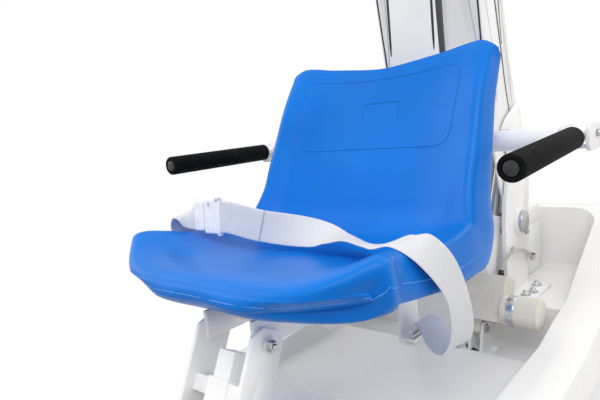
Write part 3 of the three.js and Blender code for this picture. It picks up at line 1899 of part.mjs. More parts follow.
// Cables that the lift holds from end to end
for (const [name, route, steps] of [
  ["actuator_cable", actuatorCableRoute, 26],
  ["motor_cable", motorCableRoute, 10],
])
  piece(name, tubeAlong(route.map((p) => v3(...p)), cableRadius, 6, steps), finishes.greyCable);

// The whole lift, set so that its box stands centred on the floor
const box = new THREE.Box3().setFromObject(lift);
const middle = box.getCenter(v3(0, 0, 0));
lift.position.set(-middle.x, -middle.y, -box.min.z);
lift.updateMatrixWorld(true);
const report = { shift: lift.position.toArray(), size: box.getSize(v3(0, 0, 0)).toArray() };
console.log(JSON.stringify(report));

export default lift;
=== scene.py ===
# %% [markdown]
# A mobile pool lift lowers a swimmer into the water. A wheeled tub stands at the poolside, an arm leans
# over the edge, and a moulded blue seat hangs from the arm's head. The solids come from the packed
# frame; this lesson gives each of them the finish and the small shapes that the eye looks for.
# Everything is in metres. Lengths below are written in millimetres and turned by one helper.

import json
import math

import bmesh
import bpy
import numpy as np
from mathutils import Matrix, Vector
from mathutils.bvhtree import BVHTree

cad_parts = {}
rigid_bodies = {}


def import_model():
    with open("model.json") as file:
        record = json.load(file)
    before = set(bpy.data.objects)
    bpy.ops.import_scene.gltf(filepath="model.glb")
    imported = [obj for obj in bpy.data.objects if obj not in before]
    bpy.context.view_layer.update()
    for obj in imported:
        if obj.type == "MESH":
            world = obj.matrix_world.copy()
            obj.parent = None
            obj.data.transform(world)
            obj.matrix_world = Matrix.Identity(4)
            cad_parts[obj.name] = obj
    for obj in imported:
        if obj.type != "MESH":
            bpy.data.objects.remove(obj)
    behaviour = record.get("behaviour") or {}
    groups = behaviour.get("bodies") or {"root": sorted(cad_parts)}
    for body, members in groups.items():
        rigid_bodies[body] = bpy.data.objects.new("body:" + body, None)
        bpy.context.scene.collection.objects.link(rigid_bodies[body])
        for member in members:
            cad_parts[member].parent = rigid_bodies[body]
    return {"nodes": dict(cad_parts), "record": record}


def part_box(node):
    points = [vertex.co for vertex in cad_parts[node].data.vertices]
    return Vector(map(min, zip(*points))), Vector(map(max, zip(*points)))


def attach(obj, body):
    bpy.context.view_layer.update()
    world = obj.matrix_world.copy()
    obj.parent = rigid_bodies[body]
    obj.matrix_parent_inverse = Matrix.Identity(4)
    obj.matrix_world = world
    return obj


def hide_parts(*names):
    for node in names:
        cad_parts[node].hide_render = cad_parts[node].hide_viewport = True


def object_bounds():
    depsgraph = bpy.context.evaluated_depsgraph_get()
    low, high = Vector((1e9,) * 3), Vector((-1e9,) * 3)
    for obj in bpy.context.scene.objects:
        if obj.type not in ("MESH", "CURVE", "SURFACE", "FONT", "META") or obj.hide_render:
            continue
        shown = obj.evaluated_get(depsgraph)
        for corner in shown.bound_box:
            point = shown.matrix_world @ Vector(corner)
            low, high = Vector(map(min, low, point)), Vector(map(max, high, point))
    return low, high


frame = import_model()
cad_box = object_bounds()

# %% [markdown]
# The lift was measured from the axis of the tube that carries the armrests, so that axis is Y = 0 in
# every list below. `at` turns such a place, in millimetres, into the frame's metres.

# %% Places and colours
crossbar_low, crossbar_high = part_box("crossbar")
axis_y = (crossbar_low.y + crossbar_high.y) / 2
MM = 0.001


def at(x, y, z):
    return Vector((x * MM, y * MM + axis_y, z * MM))


def linear(code):
    """An sRGB hex colour as the linear RGBA that a shader socket takes."""
    parts = [int(code[i : i + 2], 16) / 255 for i in (1, 3, 5)]
    return (*[v / 12.92 if v <= 0.04045 else ((v + 0.055) / 1.055) ** 2.4 for v in parts], 1.0)


print("armrest tube axis at y =", round(axis_y, 4))

# %% [markdown]
# The photograph was taken from the seat's front left, a little above the armrests. The camera's place
# and turn were solved from the grips, the seat and the base, so the picture and the render overlay.

# %% Camera
camera_data = bpy.data.cameras.new("photo_camera")
camera_data.lens, camera_data.sensor_width, camera_data.clip_end = 33.144, 36.0, 60
camera = bpy.data.objects.new("photo_camera", camera_data)
bpy.context.scene.collection.objects.link(camera)
right = Vector((0.757681, 0.645701, -0.094811))
upward = Vector((-0.019401, 0.167497, 0.985682))
ahead = Vector((-0.652336, 0.744993, -0.139437))
turn = Matrix((right, upward, -ahead)).transposed().to_4x4()
camera.matrix_world = Matrix.Translation(at(540.4, -902.5, 637.3)) @ turn
bpy.context.scene.camera = camera
print("camera at", [round(v, 3) for v in camera.location])

# %% [markdown]
# A pool lift is shown in a bright, even room. Large soft lamps above and beside it give the broad
# highlights. A near-white world fills the shade, from below with a third of its strength from above. The
# background is white because of its own colour, seen through Light Path, and not because of more light
# on the lift. The floor pales into it with distance, keeps the lift's shadow near the wheels, and ends at
# the pool's edge, since the seat goes down past it.

# %% World, lamps and floor
world = bpy.data.worlds.new("studio")
bpy.context.scene.world = world
world.use_nodes = True


def add(tree, kind, links=None, **settings):
    """Adds a node with these settings and links or sets its inputs; a node gives its first output."""
    made = tree.nodes.new(kind)
    for name, value in settings.items():
        setattr(made, name, value)
    for socket, value in (links or {}).items():
        value = value.outputs[0] if isinstance(value, bpy.types.Node) else value
        if isinstance(value, bpy.types.NodeSocket):
            tree.links.new(value, made.inputs[socket])
        else:
            made.inputs[socket].default_value = value
    return made


def seen_directly(tree):
    """1 where a camera, glossy or transmission ray arrives, and 0 for light and shade."""
    ray = add(tree, "ShaderNodeLightPath").outputs
    seen = ray["Is Camera Ray"]
    for other in (ray["Is Glossy Ray"], ray["Is Transmission Ray"]):
        seen = add(tree, "ShaderNodeMath", {0: seen, 1: other}, operation="MAXIMUM")
    return seen


studio = world.node_tree
studio.nodes.clear()
direction = add(studio, "ShaderNodeTexCoord")
height = add(studio, "ShaderNodeSeparateXYZ", {"Vector": direction.outputs["Generated"]})
from_below = add(
    studio,
    "ShaderNodeMapRange",
    {"Value": height.outputs["Z"], "From Min": -0.3, "From Max": 0.1, "To Min": 0.28, "To Max": 0.82},
    interpolation_type="SMOOTHSTEP",
)
fill = add(studio, "ShaderNodeBackground", {"Color": linear("#F8F6F2"), "Strength": from_below})
white = add(studio, "ShaderNodeBackground", {"Color": (1, 1, 1, 1), "Strength": 1.0})
mixed = add(studio, "ShaderNodeMixShader", {0: seen_directly(studio), 1: fill, 2: white})
add(studio, "ShaderNodeOutputWorld", {"Surface": mixed})

for name, place, size, power in [
    ("key_lamp", (1.5, -2.4, 3.2), 2.2, 78),
    ("side_lamp", (-3.0, -1.2, 2.2), 2.4, 30),
    ("back_lamp", (1.2, 3.0, 3.0), 2.6, 32),
]:
    lamp = bpy.data.objects.new(name, bpy.data.lights.new(name, "AREA"))
    lamp.data.size = size
    lamp.data.energy = power
    lamp.location = place
    lamp.rotation_euler = (Vector((0, 0, 0.6)) - Vector(place)).to_track_quat("-Z", "Y").to_euler()
    bpy.context.scene.collection.objects.link(lamp)

POOL_EDGE, FLOOR_END = -0.42, 30
floor_mesh = bpy.data.meshes.new("floor")
floor_corners = [(x, y, 0) for y in (POOL_EDGE, FLOOR_END) for x in (-FLOOR_END, FLOOR_END)]
floor_mesh.from_pydata(floor_corners, [], [(0, 1, 3, 2)])
floor = bpy.data.objects.new("floor", floor_mesh)
bpy.context.scene.collection.objects.link(floor)
floor_look = bpy.data.materials.new("pale_floor")
floor_look.use_nodes = True
floor_tree = floor_look.node_tree
floor_shader = floor_tree.nodes["Principled BSDF"]
floor_shader.inputs["Base Color"].default_value = linear("#FAFAFA")
floor_shader.inputs["Roughness"].default_value = 0.9
spot = add(floor_tree, "ShaderNodeTexCoord").outputs["Object"]
from_lift = add(floor_tree, "ShaderNodeVectorMath", {0: spot}, operation="LENGTH")
ahead_of = add(floor_tree, "ShaderNodeSeparateXYZ", {"Vector": spot})
paling, to_edge = (
    add(
        floor_tree,
        "ShaderNodeMapRange",
        {"Value": value, "From Min": near, "From Max": far, "To Min": low, "To Max": high},
        interpolation_type="SMOOTHSTEP",
    )
    for value, near, far, low, high in (
        (from_lift.outputs["Value"], 0.5, 1.8, 0.6, 1.0),
        (ahead_of.outputs["Y"], POOL_EDGE, -0.16, 1.0, 0.6),
    )
)
palest = add(floor_tree, "ShaderNodeMath", {0: paling, 1: to_edge}, operation="MAXIMUM")
pale = add(floor_tree, "ShaderNodeMath", {0: palest, 1: seen_directly(floor_tree)}, operation="MULTIPLY")
glow = add(floor_tree, "ShaderNodeEmission", {"Color": (1, 1, 1, 1), "Strength": 1.0})
floor_mix = add(floor_tree, "ShaderNodeMixShader", {0: pale, 1: floor_shader, 2: glow})
floor_tree.links.new(floor_mix.outputs[0], floor_tree.nodes["Material Output"].inputs["Surface"])
floor_mesh.materials.append(floor_look)
bpy.context.scene.view_settings.view_transform = "Standard"
print("studio ready")

# %% [markdown]
# Finishes. Each one starts from what the real surface is and how it was made. `surface` sets what is the
# same all over. `finish` adds a soft drift between two tones and the surface's own fine relief, such as
# orange peel, grain or pores, at a size in real millimetres.

# %% Start of a finish
def surface(name, colour, roughness, metallic=0.0, **sockets):
    """A new material, with its tree, its Principled shader and its object coordinates."""
    look = bpy.data.materials.new(name)
    look.use_nodes = True
    shader = look.node_tree.nodes["Principled BSDF"]
    shader.inputs["Base Color"].default_value = linear(colour)
    shader.inputs["Roughness"].default_value = roughness
    shader.inputs["Metallic"].default_value = metallic
    for socket, value in sockets.items():
        shader.inputs[socket.replace("_", " ")].default_value = value
    spot = add(look.node_tree, "ShaderNodeTexCoord").outputs["Object"]
    return look, look.node_tree, shader, spot


def per_metre(size_mm):
    """A texture scale that repeats every size_mm millimetres."""
    return 1 / (size_mm * MM)


def finish(start, tones, drift_mm, detail=2.0, band=(0.3, 0.7), depth_mm=0.0, strength=0.3, fine=None):
    """Drifts the colour between two tones; fine gives the relief its own texture, size and settings."""
    look, tree, shader, spot = start
    scale = {"Vector": spot, "Scale": per_metre(drift_mm), "Detail": detail}
    drift = add(tree, "ShaderNodeTexNoise", scale)
    ramp = add(tree, "ShaderNodeValToRGB", {"Fac": drift.outputs["Fac"]})
    for element, tone, place in zip(ramp.color_ramp.elements, tones, band):
        element.position = place
        element.color = linear(tone)
    tree.links.new(ramp.outputs["Color"], shader.inputs["Base Color"])
    height = drift.outputs["Fac"]
    if fine:
        kind, output, size_mm, inputs, settings = fine
        texture = add(tree, kind, {"Vector": spot, "Scale": per_metre(size_mm), **inputs}, **settings)
        height = texture.outputs[output]
    if depth_mm:
        inputs = {"Height": height, "Distance": depth_mm * MM, "Strength": strength}
        bump = add(tree, "ShaderNodeBump", inputs)
        tree.links.new(bump.outputs["Normal"], shader.inputs["Normal"])
    return look


def noise(size_mm, detail):
    """Fine relief from a noise."""
    return "ShaderNodeTexNoise", "Fac", size_mm, {"Detail": detail}, {}


# %% [markdown]
# Rotationally moulded polyethylene for the seat: one strong blue through the whole wall, a satin skin
# with a faint leather grain from the mould, and broad soft highlights.

# %% Moulded blue polyethylene
blue_polyethylene = finish(
    surface("blue_polyethylene", "#0370D0", 0.36, Specular_IOR_Level=0.16),
    ("#026BC9", "#0474D6"),
    160,
    depth_mm=0.05,
    strength=0.35,
    fine=("ShaderNodeTexVoronoi", "Distance", 1.1, {}, {"feature": "SMOOTH_F1"}),
)

# %% [markdown]
# Powder coat on steel: melted plastic powder leaves a fine orange peel, about 1.5 mm across. The tub is
# gelcoat on glass fibre: glossier, with slow waves from the mould. The boxes and the arm's cap are a
# smooth moulded plastic, and the buckle is nylon.

# %% Whites
powder_coat = finish(
    surface("white_powder_coat", "#EDEDEE", 0.34, Specular_IOR_Level=0.5),
    ("#E7E7E8", "#F1F1F2"),
    120,
    3.0,
    (0.35, 0.65),
    depth_mm=0.06,
    fine=noise(1.5, 2.0),
)
gelcoat = finish(
    surface("white_gelcoat", "#F1F1F0", 0.24, Coat_Weight=0.15, Coat_Roughness=0.12),
    ("#E7E6E4", "#F0F0F0"),
    210,
    4.0,
    (0.35, 0.7),
    depth_mm=0.5,
    strength=0.18,
    fine=noise(38, 1.0),
)
white_plastic = finish(
    surface("white_abs", "#EFF0F1", 0.32),
    ("#E9EAEC", "#F3F4F5"),
    60,
    band=(0.35, 0.65),
    depth_mm=0.03,
    fine=noise(0.9, 1.0),
)
nylon = finish(
    surface("white_nylon", "#F2F3F6", 0.3), ("#E8EAEE", "#F7F8FA"), 14, depth_mm=0.1, strength=0.2
)

# %% [markdown]
# Stainless steel, turned or drawn: fine scratches run round the bolts and pins, so the roughness has
# short streaks under a millimetre apart.

# %% Satin stainless steel
stainless, tree, shader, spot = surface("satin_stainless", "#B9BABC", 0.3, 1.0)
stretched = add(tree, "ShaderNodeMapping", {"Vector": spot, "Scale": (0.2, 1.0, 1.0)})
streaks = add(
    tree, "ShaderNodeTexNoise", {"Vector": stretched.outputs[0], "Scale": per_metre(0.7), "Detail": 3.0}
)
spread = add(tree, "ShaderNodeMapRange", {"Value": streaks.outputs["Fac"], "To Min": 0.2, "To Max": 0.42})
tree.links.new(spread.outputs[0], shader.inputs["Roughness"])
scratches = add(
    tree, "ShaderNodeBump", {"Height": streaks.outputs["Fac"], "Distance": 0.02 * MM, "Strength": 0.4}
)
tree.links.new(scratches.outputs["Normal"], shader.inputs["Normal"])

# %% [markdown]
# Closed-cell nitrile foam on the armrests: nearly black, dull, with pores of about a millimetre.

# %% Black foam
foam = finish(
    surface("nitrile_foam", "#0B0C0D", 0.8, Specular_IOR_Level=0.1),
    ("#08090A", "#0F1011"),
    9,
    3.0,
    (0.35, 0.7),
    depth_mm=0.12,
    strength=0.35,
    fine=("ShaderNodeTexVoronoi", "Distance", 0.9, {}, {}),
)

# %% [markdown]
# Polyester webbing: herringbone rows about 2.4 mm apart run across a 50 mm strap. The pattern follows
# the strap, so it reads the strap's own UV map, where U is millimetres across and V along.

# %% Woven polyester webbing
webbing, tree, shader, _ = surface(
    "woven_polyester", "#DDDFE4", 0.82, Sheen_Weight=0.3, Sheen_Roughness=0.4
)
ROW_MM, WARP_MM, ZIGZAG_MM, WARP_SHARE = 2.4, 1.6, 6.0, 0.35
uv = add(tree, "ShaderNodeUVMap", uv_map="strap")
parts = add(tree, "ShaderNodeSeparateXYZ", {"Vector": uv.outputs["UV"]})
weave = {"x": parts.outputs["X"], "y": parts.outputs["Y"]}
for made, kind, *terms in [
    ("zigzag", "PINGPONG", "x", ZIGZAG_MM),
    ("slanted", "ADD", "y", "zigzag"),
    ("rows", "MULTIPLY", "slanted", math.tau / ROW_MM),
    ("row_height", "SINE", "rows"),
    ("warp", "MULTIPLY", "x", math.tau / WARP_MM),
    ("warp_height", "SINE", "warp"),
    ("woven", "MULTIPLY_ADD", "warp_height", WARP_SHARE, "row_height"),
]:
    links = {i: weave.get(term, term) for i, term in enumerate(terms)}
    weave[made] = add(tree, "ShaderNodeMath", links, operation=kind)
shade = add(tree, "ShaderNodeMapRange", {"Value": weave["woven"], "From Min": -1.3, "From Max": 1.3})
thread = add(tree, "ShaderNodeValToRGB", {"Fac": shade.outputs[0]})
for element, tone in zip(thread.color_ramp.elements, ("#C4C7CF", "#EBECF0")):
    element.color = linear(tone)
tree.links.new(thread.outputs["Color"], shader.inputs["Base Color"])
ribs = add(tree, "ShaderNodeBump", {"Height": weave["woven"], "Distance": 0.25 * MM, "Strength": 0.6})
tree.links.new(ribs.outputs["Normal"], shader.inputs["Normal"])

# %% [markdown]
# The rest: the actuator's warm grey paint over a casting, the bare foil on its label band, rubber that
# leaves no marks, the coloured buttons, the vinyl bands, the black strips of painted gap shadow, the grey
# joint lines, the cables and the thread.

# %% Paints, rubbers and trims
motor_paint = finish(
    surface("actuator_grey_paint", "#DDD8CE", 0.42),
    ("#D6D1C7", "#E2DED5"),
    40,
    3.0,
    (0.35, 0.65),
    depth_mm=0.06,
    strength=0.35,
    fine=noise(1.3, 2.0),
)
grey_rubber = finish(
    surface("non_marking_rubber", "#7C8083", 0.7),
    ("#73777A", "#868A8D"),
    12,
    3.0,
    depth_mm=0.1,
    strength=0.5,
    fine=noise(0.8, 3.0),
)
SOFT, EVEN = (0.3, 0.7), (0.35, 0.65)
foil, hub_plastic, cable_sheath, black_plastic, red_plastic, green_plastic = (
    finish(surface(name, *base), tones, drift_mm, band=band, depth_mm=depth_mm)
    for name, base, tones, drift_mm, band, depth_mm in [
        ("bare_silver_label", ("#C9CBCD", 0.28, 0.85), ("#BFC1C3", "#D6D8DA"), 7, EVEN, 0.04),
        ("grey_polypropylene", ("#A9ADB1", 0.42), ("#A0A4A8", "#B2B6BA"), 20, EVEN, 0.08),
        ("grey_pvc_sheath", ("#BDBAB2", 0.5), ("#B3B0A8", "#C6C3BB"), 10, EVEN, 0.05),
        ("black_polyamide", ("#1A1B1D", 0.42), ("#141516", "#212224"), 6, SOFT, 0.05),
        ("red_polyamide", ("#C4161C", 0.33), ("#B81318", "#CC1A20"), 9, SOFT, 0.04),
        ("green_polyamide", ("#2F8F46", 0.38), ("#2A8440", "#36984D"), 9, SOFT, 0.04),
    ]
)
navy_trim, gap_shadow_look, grey_seam = (
    finish(surface(name, *base), tones, drift_mm, depth_mm=0.03, strength=0.2)
    for name, base, tones, drift_mm in [
        ("navy_vinyl", ("#160F33", 0.3), ("#120C2B", "#1C1440"), 50),
        # Near-black strips of painted shadow for the gaps beside the column's front plate and along the
        # arm.
        ("black_seal", ("#0C0C10", 0.5), ("#09090C", "#141419"), 20),
        ("grey_joint_line", ("#A9A7A2", 0.5), ("#9F9D98", "#B2B0AB"), 20),
    ]
)
thread_look = finish(surface("polyester_thread", "#F1F2F5", 0.6), ("#E3E5EA", "#F7F8FA"), 2)
# The pale blue of the parting line is a painted highlight along its thin ridge.
flash_highlight_look = finish(surface("scraped_flash", "#4E97EC", 0.5), ("#2E7FE0", "#8DBBF4"), 5)
print("finishes", len(bpy.data.materials))

# %% [markdown]
# Many of the lift's parts are already the right shape as solids, only with knife-sharp edges. `dress`
# takes a copy of such a node's mesh, joins its loose triangles into clean faces, rounds its edges with
# a Bevel and smooths the round sides. The piece then stands for its node and rides on its body.

# %% Dress a solid
bodies = frame["record"]["behaviour"]["bodies"]
body_of_node = {node: body for body, nodes in bodies.items() for node in nodes}


def settle(piece, node_or_body, stands_for=()):
    """Hangs a finished piece on its body and hides the nodes that it stands for."""
    body = body_of_node.get(node_or_body, node_or_body)
    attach(piece, body)
    if stands_for:
        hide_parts(*stands_for)
    return piece


def baked(piece):
    """Turns a piece and its modifiers into a plain mesh."""
    bpy.context.view_layer.update()
    graph = bpy.context.evaluated_depsgraph_get()
    mesh = bpy.data.meshes.new_from_object(piece.evaluated_get(graph))
    piece.modifiers.clear()
    piece.data = mesh
    mesh.name = piece.name
    return piece


def smooth(mesh, angle=32):
    """Smooth shading, with the edges sharper than the angle kept crisp."""
    mesh.polygons.foreach_set("use_smooth", [True] * len(mesh.polygons))
    mesh.set_sharp_from_angle(angle=math.radians(angle))


def linked(name, mesh, look):
    """A new object with that mesh and finish, at the origin."""
    piece = bpy.data.objects.new(name, mesh)
    bpy.context.scene.collection.objects.link(piece)
    mesh.materials.clear()
    mesh.materials.append(look)
    return piece


WELD_MM, FLAT_DEG, BEVEL_DEG = 0.02, 0.6, 30


def rounded(piece, edge_mm, segments):
    """Rounds a piece's edges with a Bevel and keeps the plain mesh."""
    bevel = piece.modifiers.new("edges", "BEVEL")
    bevel.width = edge_mm * MM
    bevel.segments = segments
    bevel.limit_method = "ANGLE"
    bevel.angle_limit = math.radians(BEVEL_DEG)
    bevel.miter_outer = "MITER_ARC"
    return baked(piece)


def dress(node, look, edge_mm, segments=2):
    """A rounded, smoothly shaded copy of a CAD node that stands for it."""
    shape = bmesh.new()
    shape.from_mesh(frame["nodes"][node].data)
    bmesh.ops.remove_doubles(shape, verts=shape.verts, dist=WELD_MM * MM)
    bmesh.ops.dissolve_limit(
        shape, angle_limit=math.radians(FLAT_DEG), verts=shape.verts, edges=shape.edges, delimit=set()
    )
    mesh = bpy.data.meshes.new(node + "_dressed")
    shape.to_mesh(mesh)
    shape.free()
    piece = rounded(linked(node + "_dressed", mesh, look), edge_mm, segments)
    smooth(piece.data)
    return settle(piece, node, stands_for=(node,))


# %% [markdown]
# The steel weldments and brackets wear powder coat. Their plates are 5 to 8 mm thick, with edges broken
# by about a millimetre before coating.

# %% Powder-coated parts
BOTH = ("left", "right")
WELDED = {
    "side_plate": 1.2,
    "belt_plate": 1.0,
    "leg_plate": 1.0,
    "armrest_bracket": 1.2,
    "armrest_tube": 0.6,
}
COATED = {
    "seat_frame": 1.2,
    "footrest_sleeve": 1.2,
    "footrest_post": 1.2,
    "crossbar": 0.5,
    "hanger_column": 2.5,
    "column_rest": 1.0,
    "lift_arm": 2.5,
    "push_handle": 0.8,
    "level_lever_base": 0.9,
    "level_lever_head": 0.9,
    "tie_rod": 0.8,
    "actuator_foot": 1.0,
    "chassis_frame": 1.5,
}
PLATED = {
    "arm_pivot_shaft": 1.5,
    "head_shaft": 1.0,
    "actuator_rod": 0.8,
    "actuator_rod_pin": 0.6,
    "actuator_foot_pin": 0.6,
}
COATED |= {f"{node}_{side}": edge_mm for node, edge_mm in WELDED.items() for side in BOTH}
PLATED |= {f"{node}_{side}": 1.0 for node in ("front_fork", "castor_fork") for side in BOTH}
PLATED |= {f"armrest_pin_{side}": 0.6 for side in BOTH}
for look, edges in ((powder_coat, COATED), (stainless, PLATED)):
    for node, edge_mm in edges.items():
        dress(node, look, edge_mm)
for node, edge_mm, look in [
    ("base_cover", 5.0, gelcoat),
    ("arm_cap", 3.0, white_plastic),
    ("battery_box", 4.0, white_plastic),
    ("control_box", 3.0, white_plastic),
    ("footrest_board", 2.5, white_plastic),
    ("actuator_tube", 1.0, white_plastic),
    ("actuator_gearbox", 3.0, motor_paint),
    ("brake_pedal_left", 0.8, red_plastic),
    ("brake_pedal_right", 0.8, red_plastic),
    ("stop_button", 1.2, red_plastic),
    ("key_up", 0.8, green_plastic),
    ("key_down", 0.8, black_plastic),
]:
    dress(node, look, edge_mm, segments=3)

# %% [markdown]
# Round parts are turned shapes: a profile of (radius, distance along) swept round an axis. The armrest
# grips are foam sleeves on a tube, with a soft round over each end and a plug in the front one. The left
# armrest hangs three degrees lower than the right one, about its pivot.

# %% Turned shapes
def add_turned(shape, profile, sides, foot, axes):
    """Adds a profile of (radius, along) in millimetres, swept round the last axis, to a bmesh."""
    one, two, direction = axes
    rings = []
    for radius, along in profile:
        turns = [k * math.tau / sides for k in range(sides)] if radius else [0]
        centre = foot + direction * along * MM
        ways = [one * math.cos(t) + two * math.sin(t) for t in turns]
        rings.append([shape.verts.new(centre + way * radius * MM) for way in ways])
    for low, high in zip(rings, rings[1:]):
        for k in range(sides):
            n = (k + 1) % sides
            corners = [low[k % len(low)], low[n % len(low)], high[n % len(high)], high[k % len(high)]]
            unique = list(dict.fromkeys(corners))
            if len(unique) > 2:
                shape.faces.new(unique)


def mesh_of(shape, name, smooth_angle):
    """A smoothly shaded mesh from a bmesh, with its faces turned outward."""
    bmesh.ops.recalc_face_normals(shape, faces=shape.faces)
    mesh = bpy.data.meshes.new(name)
    shape.to_mesh(mesh)
    shape.free()
    smooth(mesh, smooth_angle)
    return mesh


def turned(name, profile, foot, axis, look, sides=48):
    """Sweeps a profile of (radius, along) in millimetres round the axis through foot."""
    direction = Vector(axis).normalized()
    one = direction.orthogonal().normalized()
    shape = bmesh.new()
    add_turned(shape, profile, sides, foot, (one, direction.cross(one), direction))
    return linked(name, mesh_of(shape, name, 40), look)


def rounded_end(radius, edge, along, way):
    """Profile points that roll from a side to an end; way is +1 at the far end and -1 at the near."""
    points = [
        (radius - edge + edge * math.sin(t), along - way * edge * (1 - math.cos(t)))
        for t in (k * math.pi / 12 for k in range(7))
    ]
    return points if way < 0 else points[::-1]


GRIP_X, GRIP_FRONT, GRIP_REAR, GRIP_R = 314, -281, -31, 17
REST_PIVOT_Y, REST_PIVOT_Z = 24, 579
grip_length = GRIP_REAR - GRIP_FRONT
for side, label, droop in ((1, "left", math.radians(3)), (-1, "right", 0)):
    along_rest = Vector((0, math.cos(droop), math.sin(droop)))
    grip_end = at(side * GRIP_X, REST_PIVOT_Y, REST_PIVOT_Z) + along_rest * (GRIP_FRONT - REST_PIVOT_Y) * MM
    profile = (
        [(0, 0.9), (10.4, 0.9), (11.1, 1.6), (11.7, 0.2)]
        + rounded_end(GRIP_R, 2.6, 0, -1)
        + rounded_end(GRIP_R, 2.2, grip_length, 1)
        + [(11.2, grip_length), (11.2, grip_length - 6)]
    )
    grip = turned(f"foam_grip_{label}", profile, grip_end, along_rest, foam, 56)
    settle(grip, f"armrest_grip_{label}", stands_for=(f"armrest_grip_{label}",))
    plug = turned(
        f"grip_plug_{label}",
        [(0, -0.6), (8.2, -0.5), (9.2, 0.0), (9.6, 1.2), (9.6, 3)],
        grip_end,
        along_rest,
        black_plastic,
        40,
    )
    settle(plug, f"armrest_grip_{label}")
print("grip length", grip_length, "mm")

# %% [markdown]
# The motor lies across the tub: a drawn can with a crimped end, two shallow rings and a bare silver
# label band. The band has no lettering.

# %% Motor
motor_low, motor_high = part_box("actuator_motor")
motor_foot = Vector((motor_low.x, (motor_low.y + motor_high.y) / 2, (motor_low.z + motor_high.z) / 2))
reach = (motor_high.x - motor_low.x) / MM
can = (motor_high.z - motor_low.z) / 2 / MM
motor = turned(
    "motor_can",
    [(0, 0.2), (can - 1.2, 0.2), (can, 1.4), (can, 5), (can - 0.8, 5.6), (can - 0.8, 7.4), (can, 8)]
    + [(can, reach - 10), (can - 0.9, reach - 9.2), (can - 0.9, reach - 7.6), (can, reach - 7)]
    + rounded_end(can, 3.6, reach - 1.5, 1)
    + [(can - 8, reach - 1.5), (can - 8.8, reach - 0.7), (can - 20, reach - 0.4), (0, reach - 0.3)],
    motor_foot,
    (1, 0, 0),
    motor_paint,
    72,
)
settle(motor, "actuator_motor", stands_for=("actuator_motor",))
band = turned(
    "motor_label_band",
    [(can + 0.05, 10.5), (can + 0.3, 11), (can + 0.3, 26), (can + 0.05, 26.5)],
    motor_foot,
    (1, 0, 0),
    foil,
    72,
)
settle(band, "actuator_motor")
print("motor reach", round(reach, 1), "mm, can radius", round(can, 1), "mm")

# %% [markdown]
# Wheels: a grey tyre that leaves no marks on poolside tiles, on a polypropylene hub with a web and ribs.
# The ribs repeat, so a small Geometry Nodes tree sets one blade round the hub as often as asked.

# %% Wheels
def grow_tree(name, inputs, rows):
    """A Geometry Nodes tree with a node for each row; a text in its links names an input or a node."""
    tree = bpy.data.node_groups.new(name, "GeometryNodeTree")
    tree.interface.new_socket("Geometry", in_out="OUTPUT", socket_type="NodeSocketGeometry")
    for title, kind in inputs.items():
        tree.interface.new_socket(title, in_out="INPUT", socket_type="NodeSocket" + kind)
    known = {socket.name: socket for socket in tree.nodes.new("NodeGroupInput").outputs}
    for made, kind, links, *settings in rows:
        links = {socket: known.get(value, value) for socket, value in links.items()}
        known[made] = add(tree, kind, links, **dict(*settings))
        known |= {f"{made}.{socket.name}": socket for socket in known[made].outputs}
    add(tree, "NodeGroupOutput", {0: known[made]})
    return tree


def grown(name, group, values, look):
    """Runs a Geometry Nodes tree with these input values and keeps the plain mesh that it makes."""
    piece = linked(name, bpy.data.meshes.new(name), look)
    modifier = piece.modifiers.new("grow", "NODES")
    modifier.node_group = group
    for item in group.interface.items_tree:
        if item.item_type == "SOCKET" and item.in_out == "INPUT" and item.name in values:
            modifier[item.identifier] = values[item.name]
    baked(piece)
    return piece


SUBTRACT, ADD, MULTIPLY, DIVIDE = (
    {"operation": name} for name in ("SUBTRACT", "ADD", "MULTIPLY", "DIVIDE")
)
RING_MM = 1.0
wheel_ribs = grow_tree(
    "wheel_ribs",
    {
        "Count": "Int",
        **{title: "Float" for title in ("Inner radius", "Outer radius", "Thickness", "Width")},
        "Centre": "Vector",
        "Material": "Material",
    },
    [
        ("spokes", "GeometryNodeMeshCircle", {"Vertices": "Count", "Radius": RING_MM * MM}),
        ("span", "ShaderNodeMath", {0: "Outer radius", 1: "Inner radius"}, SUBTRACT),
        ("both", "ShaderNodeMath", {0: "Outer radius", 1: "Inner radius"}, ADD),
        ("middle", "ShaderNodeMath", {0: "both", 1: 0.5}, MULTIPLY),
        ("size", "ShaderNodeCombineXYZ", {"X": "span", "Y": "Thickness", "Z": "Width"}),
        ("blade", "GeometryNodeMeshCube", {"Size": "size"}),
        ("place", "ShaderNodeCombineXYZ", {"X": "middle"}),
        ("blade_out", "GeometryNodeTransform", {"Geometry": "blade", "Translation": "place"}),
        ("order", "GeometryNodeInputIndex", {}),
        ("step", "ShaderNodeMath", {0: math.tau, 1: "Count"}, DIVIDE),
        ("angle", "ShaderNodeMath", {0: "order", 1: "step"}, MULTIPLY),
        ("turn", "ShaderNodeCombineXYZ", {"Z": "angle"}),
        (
            "ring",
            "GeometryNodeInstanceOnPoints",
            {"Points": "spokes", "Instance": "blade_out", "Rotation": "turn"},
        ),
        ("real", "GeometryNodeRealizeInstances", {"Geometry": "ring"}),
        (
            "upright",
            "GeometryNodeTransform",
            {"Geometry": "real", "Translation": "Centre", "Rotation": (0.0, math.pi / 2, 0.0)},
        ),
        ("painted", "GeometryNodeSetMaterial", {"Geometry": "upright", "Material": "Material"}),
    ],
)
WHEELS = [f"{kind}_wheel_{side}" for kind in ("front", "castor") for side in BOTH]
AXLE = (1, 0, 0)
RIBS = {"Count": 8, "Inner radius": 0.0148, "Outer radius": 0.0342, "Thickness": 0.0026}
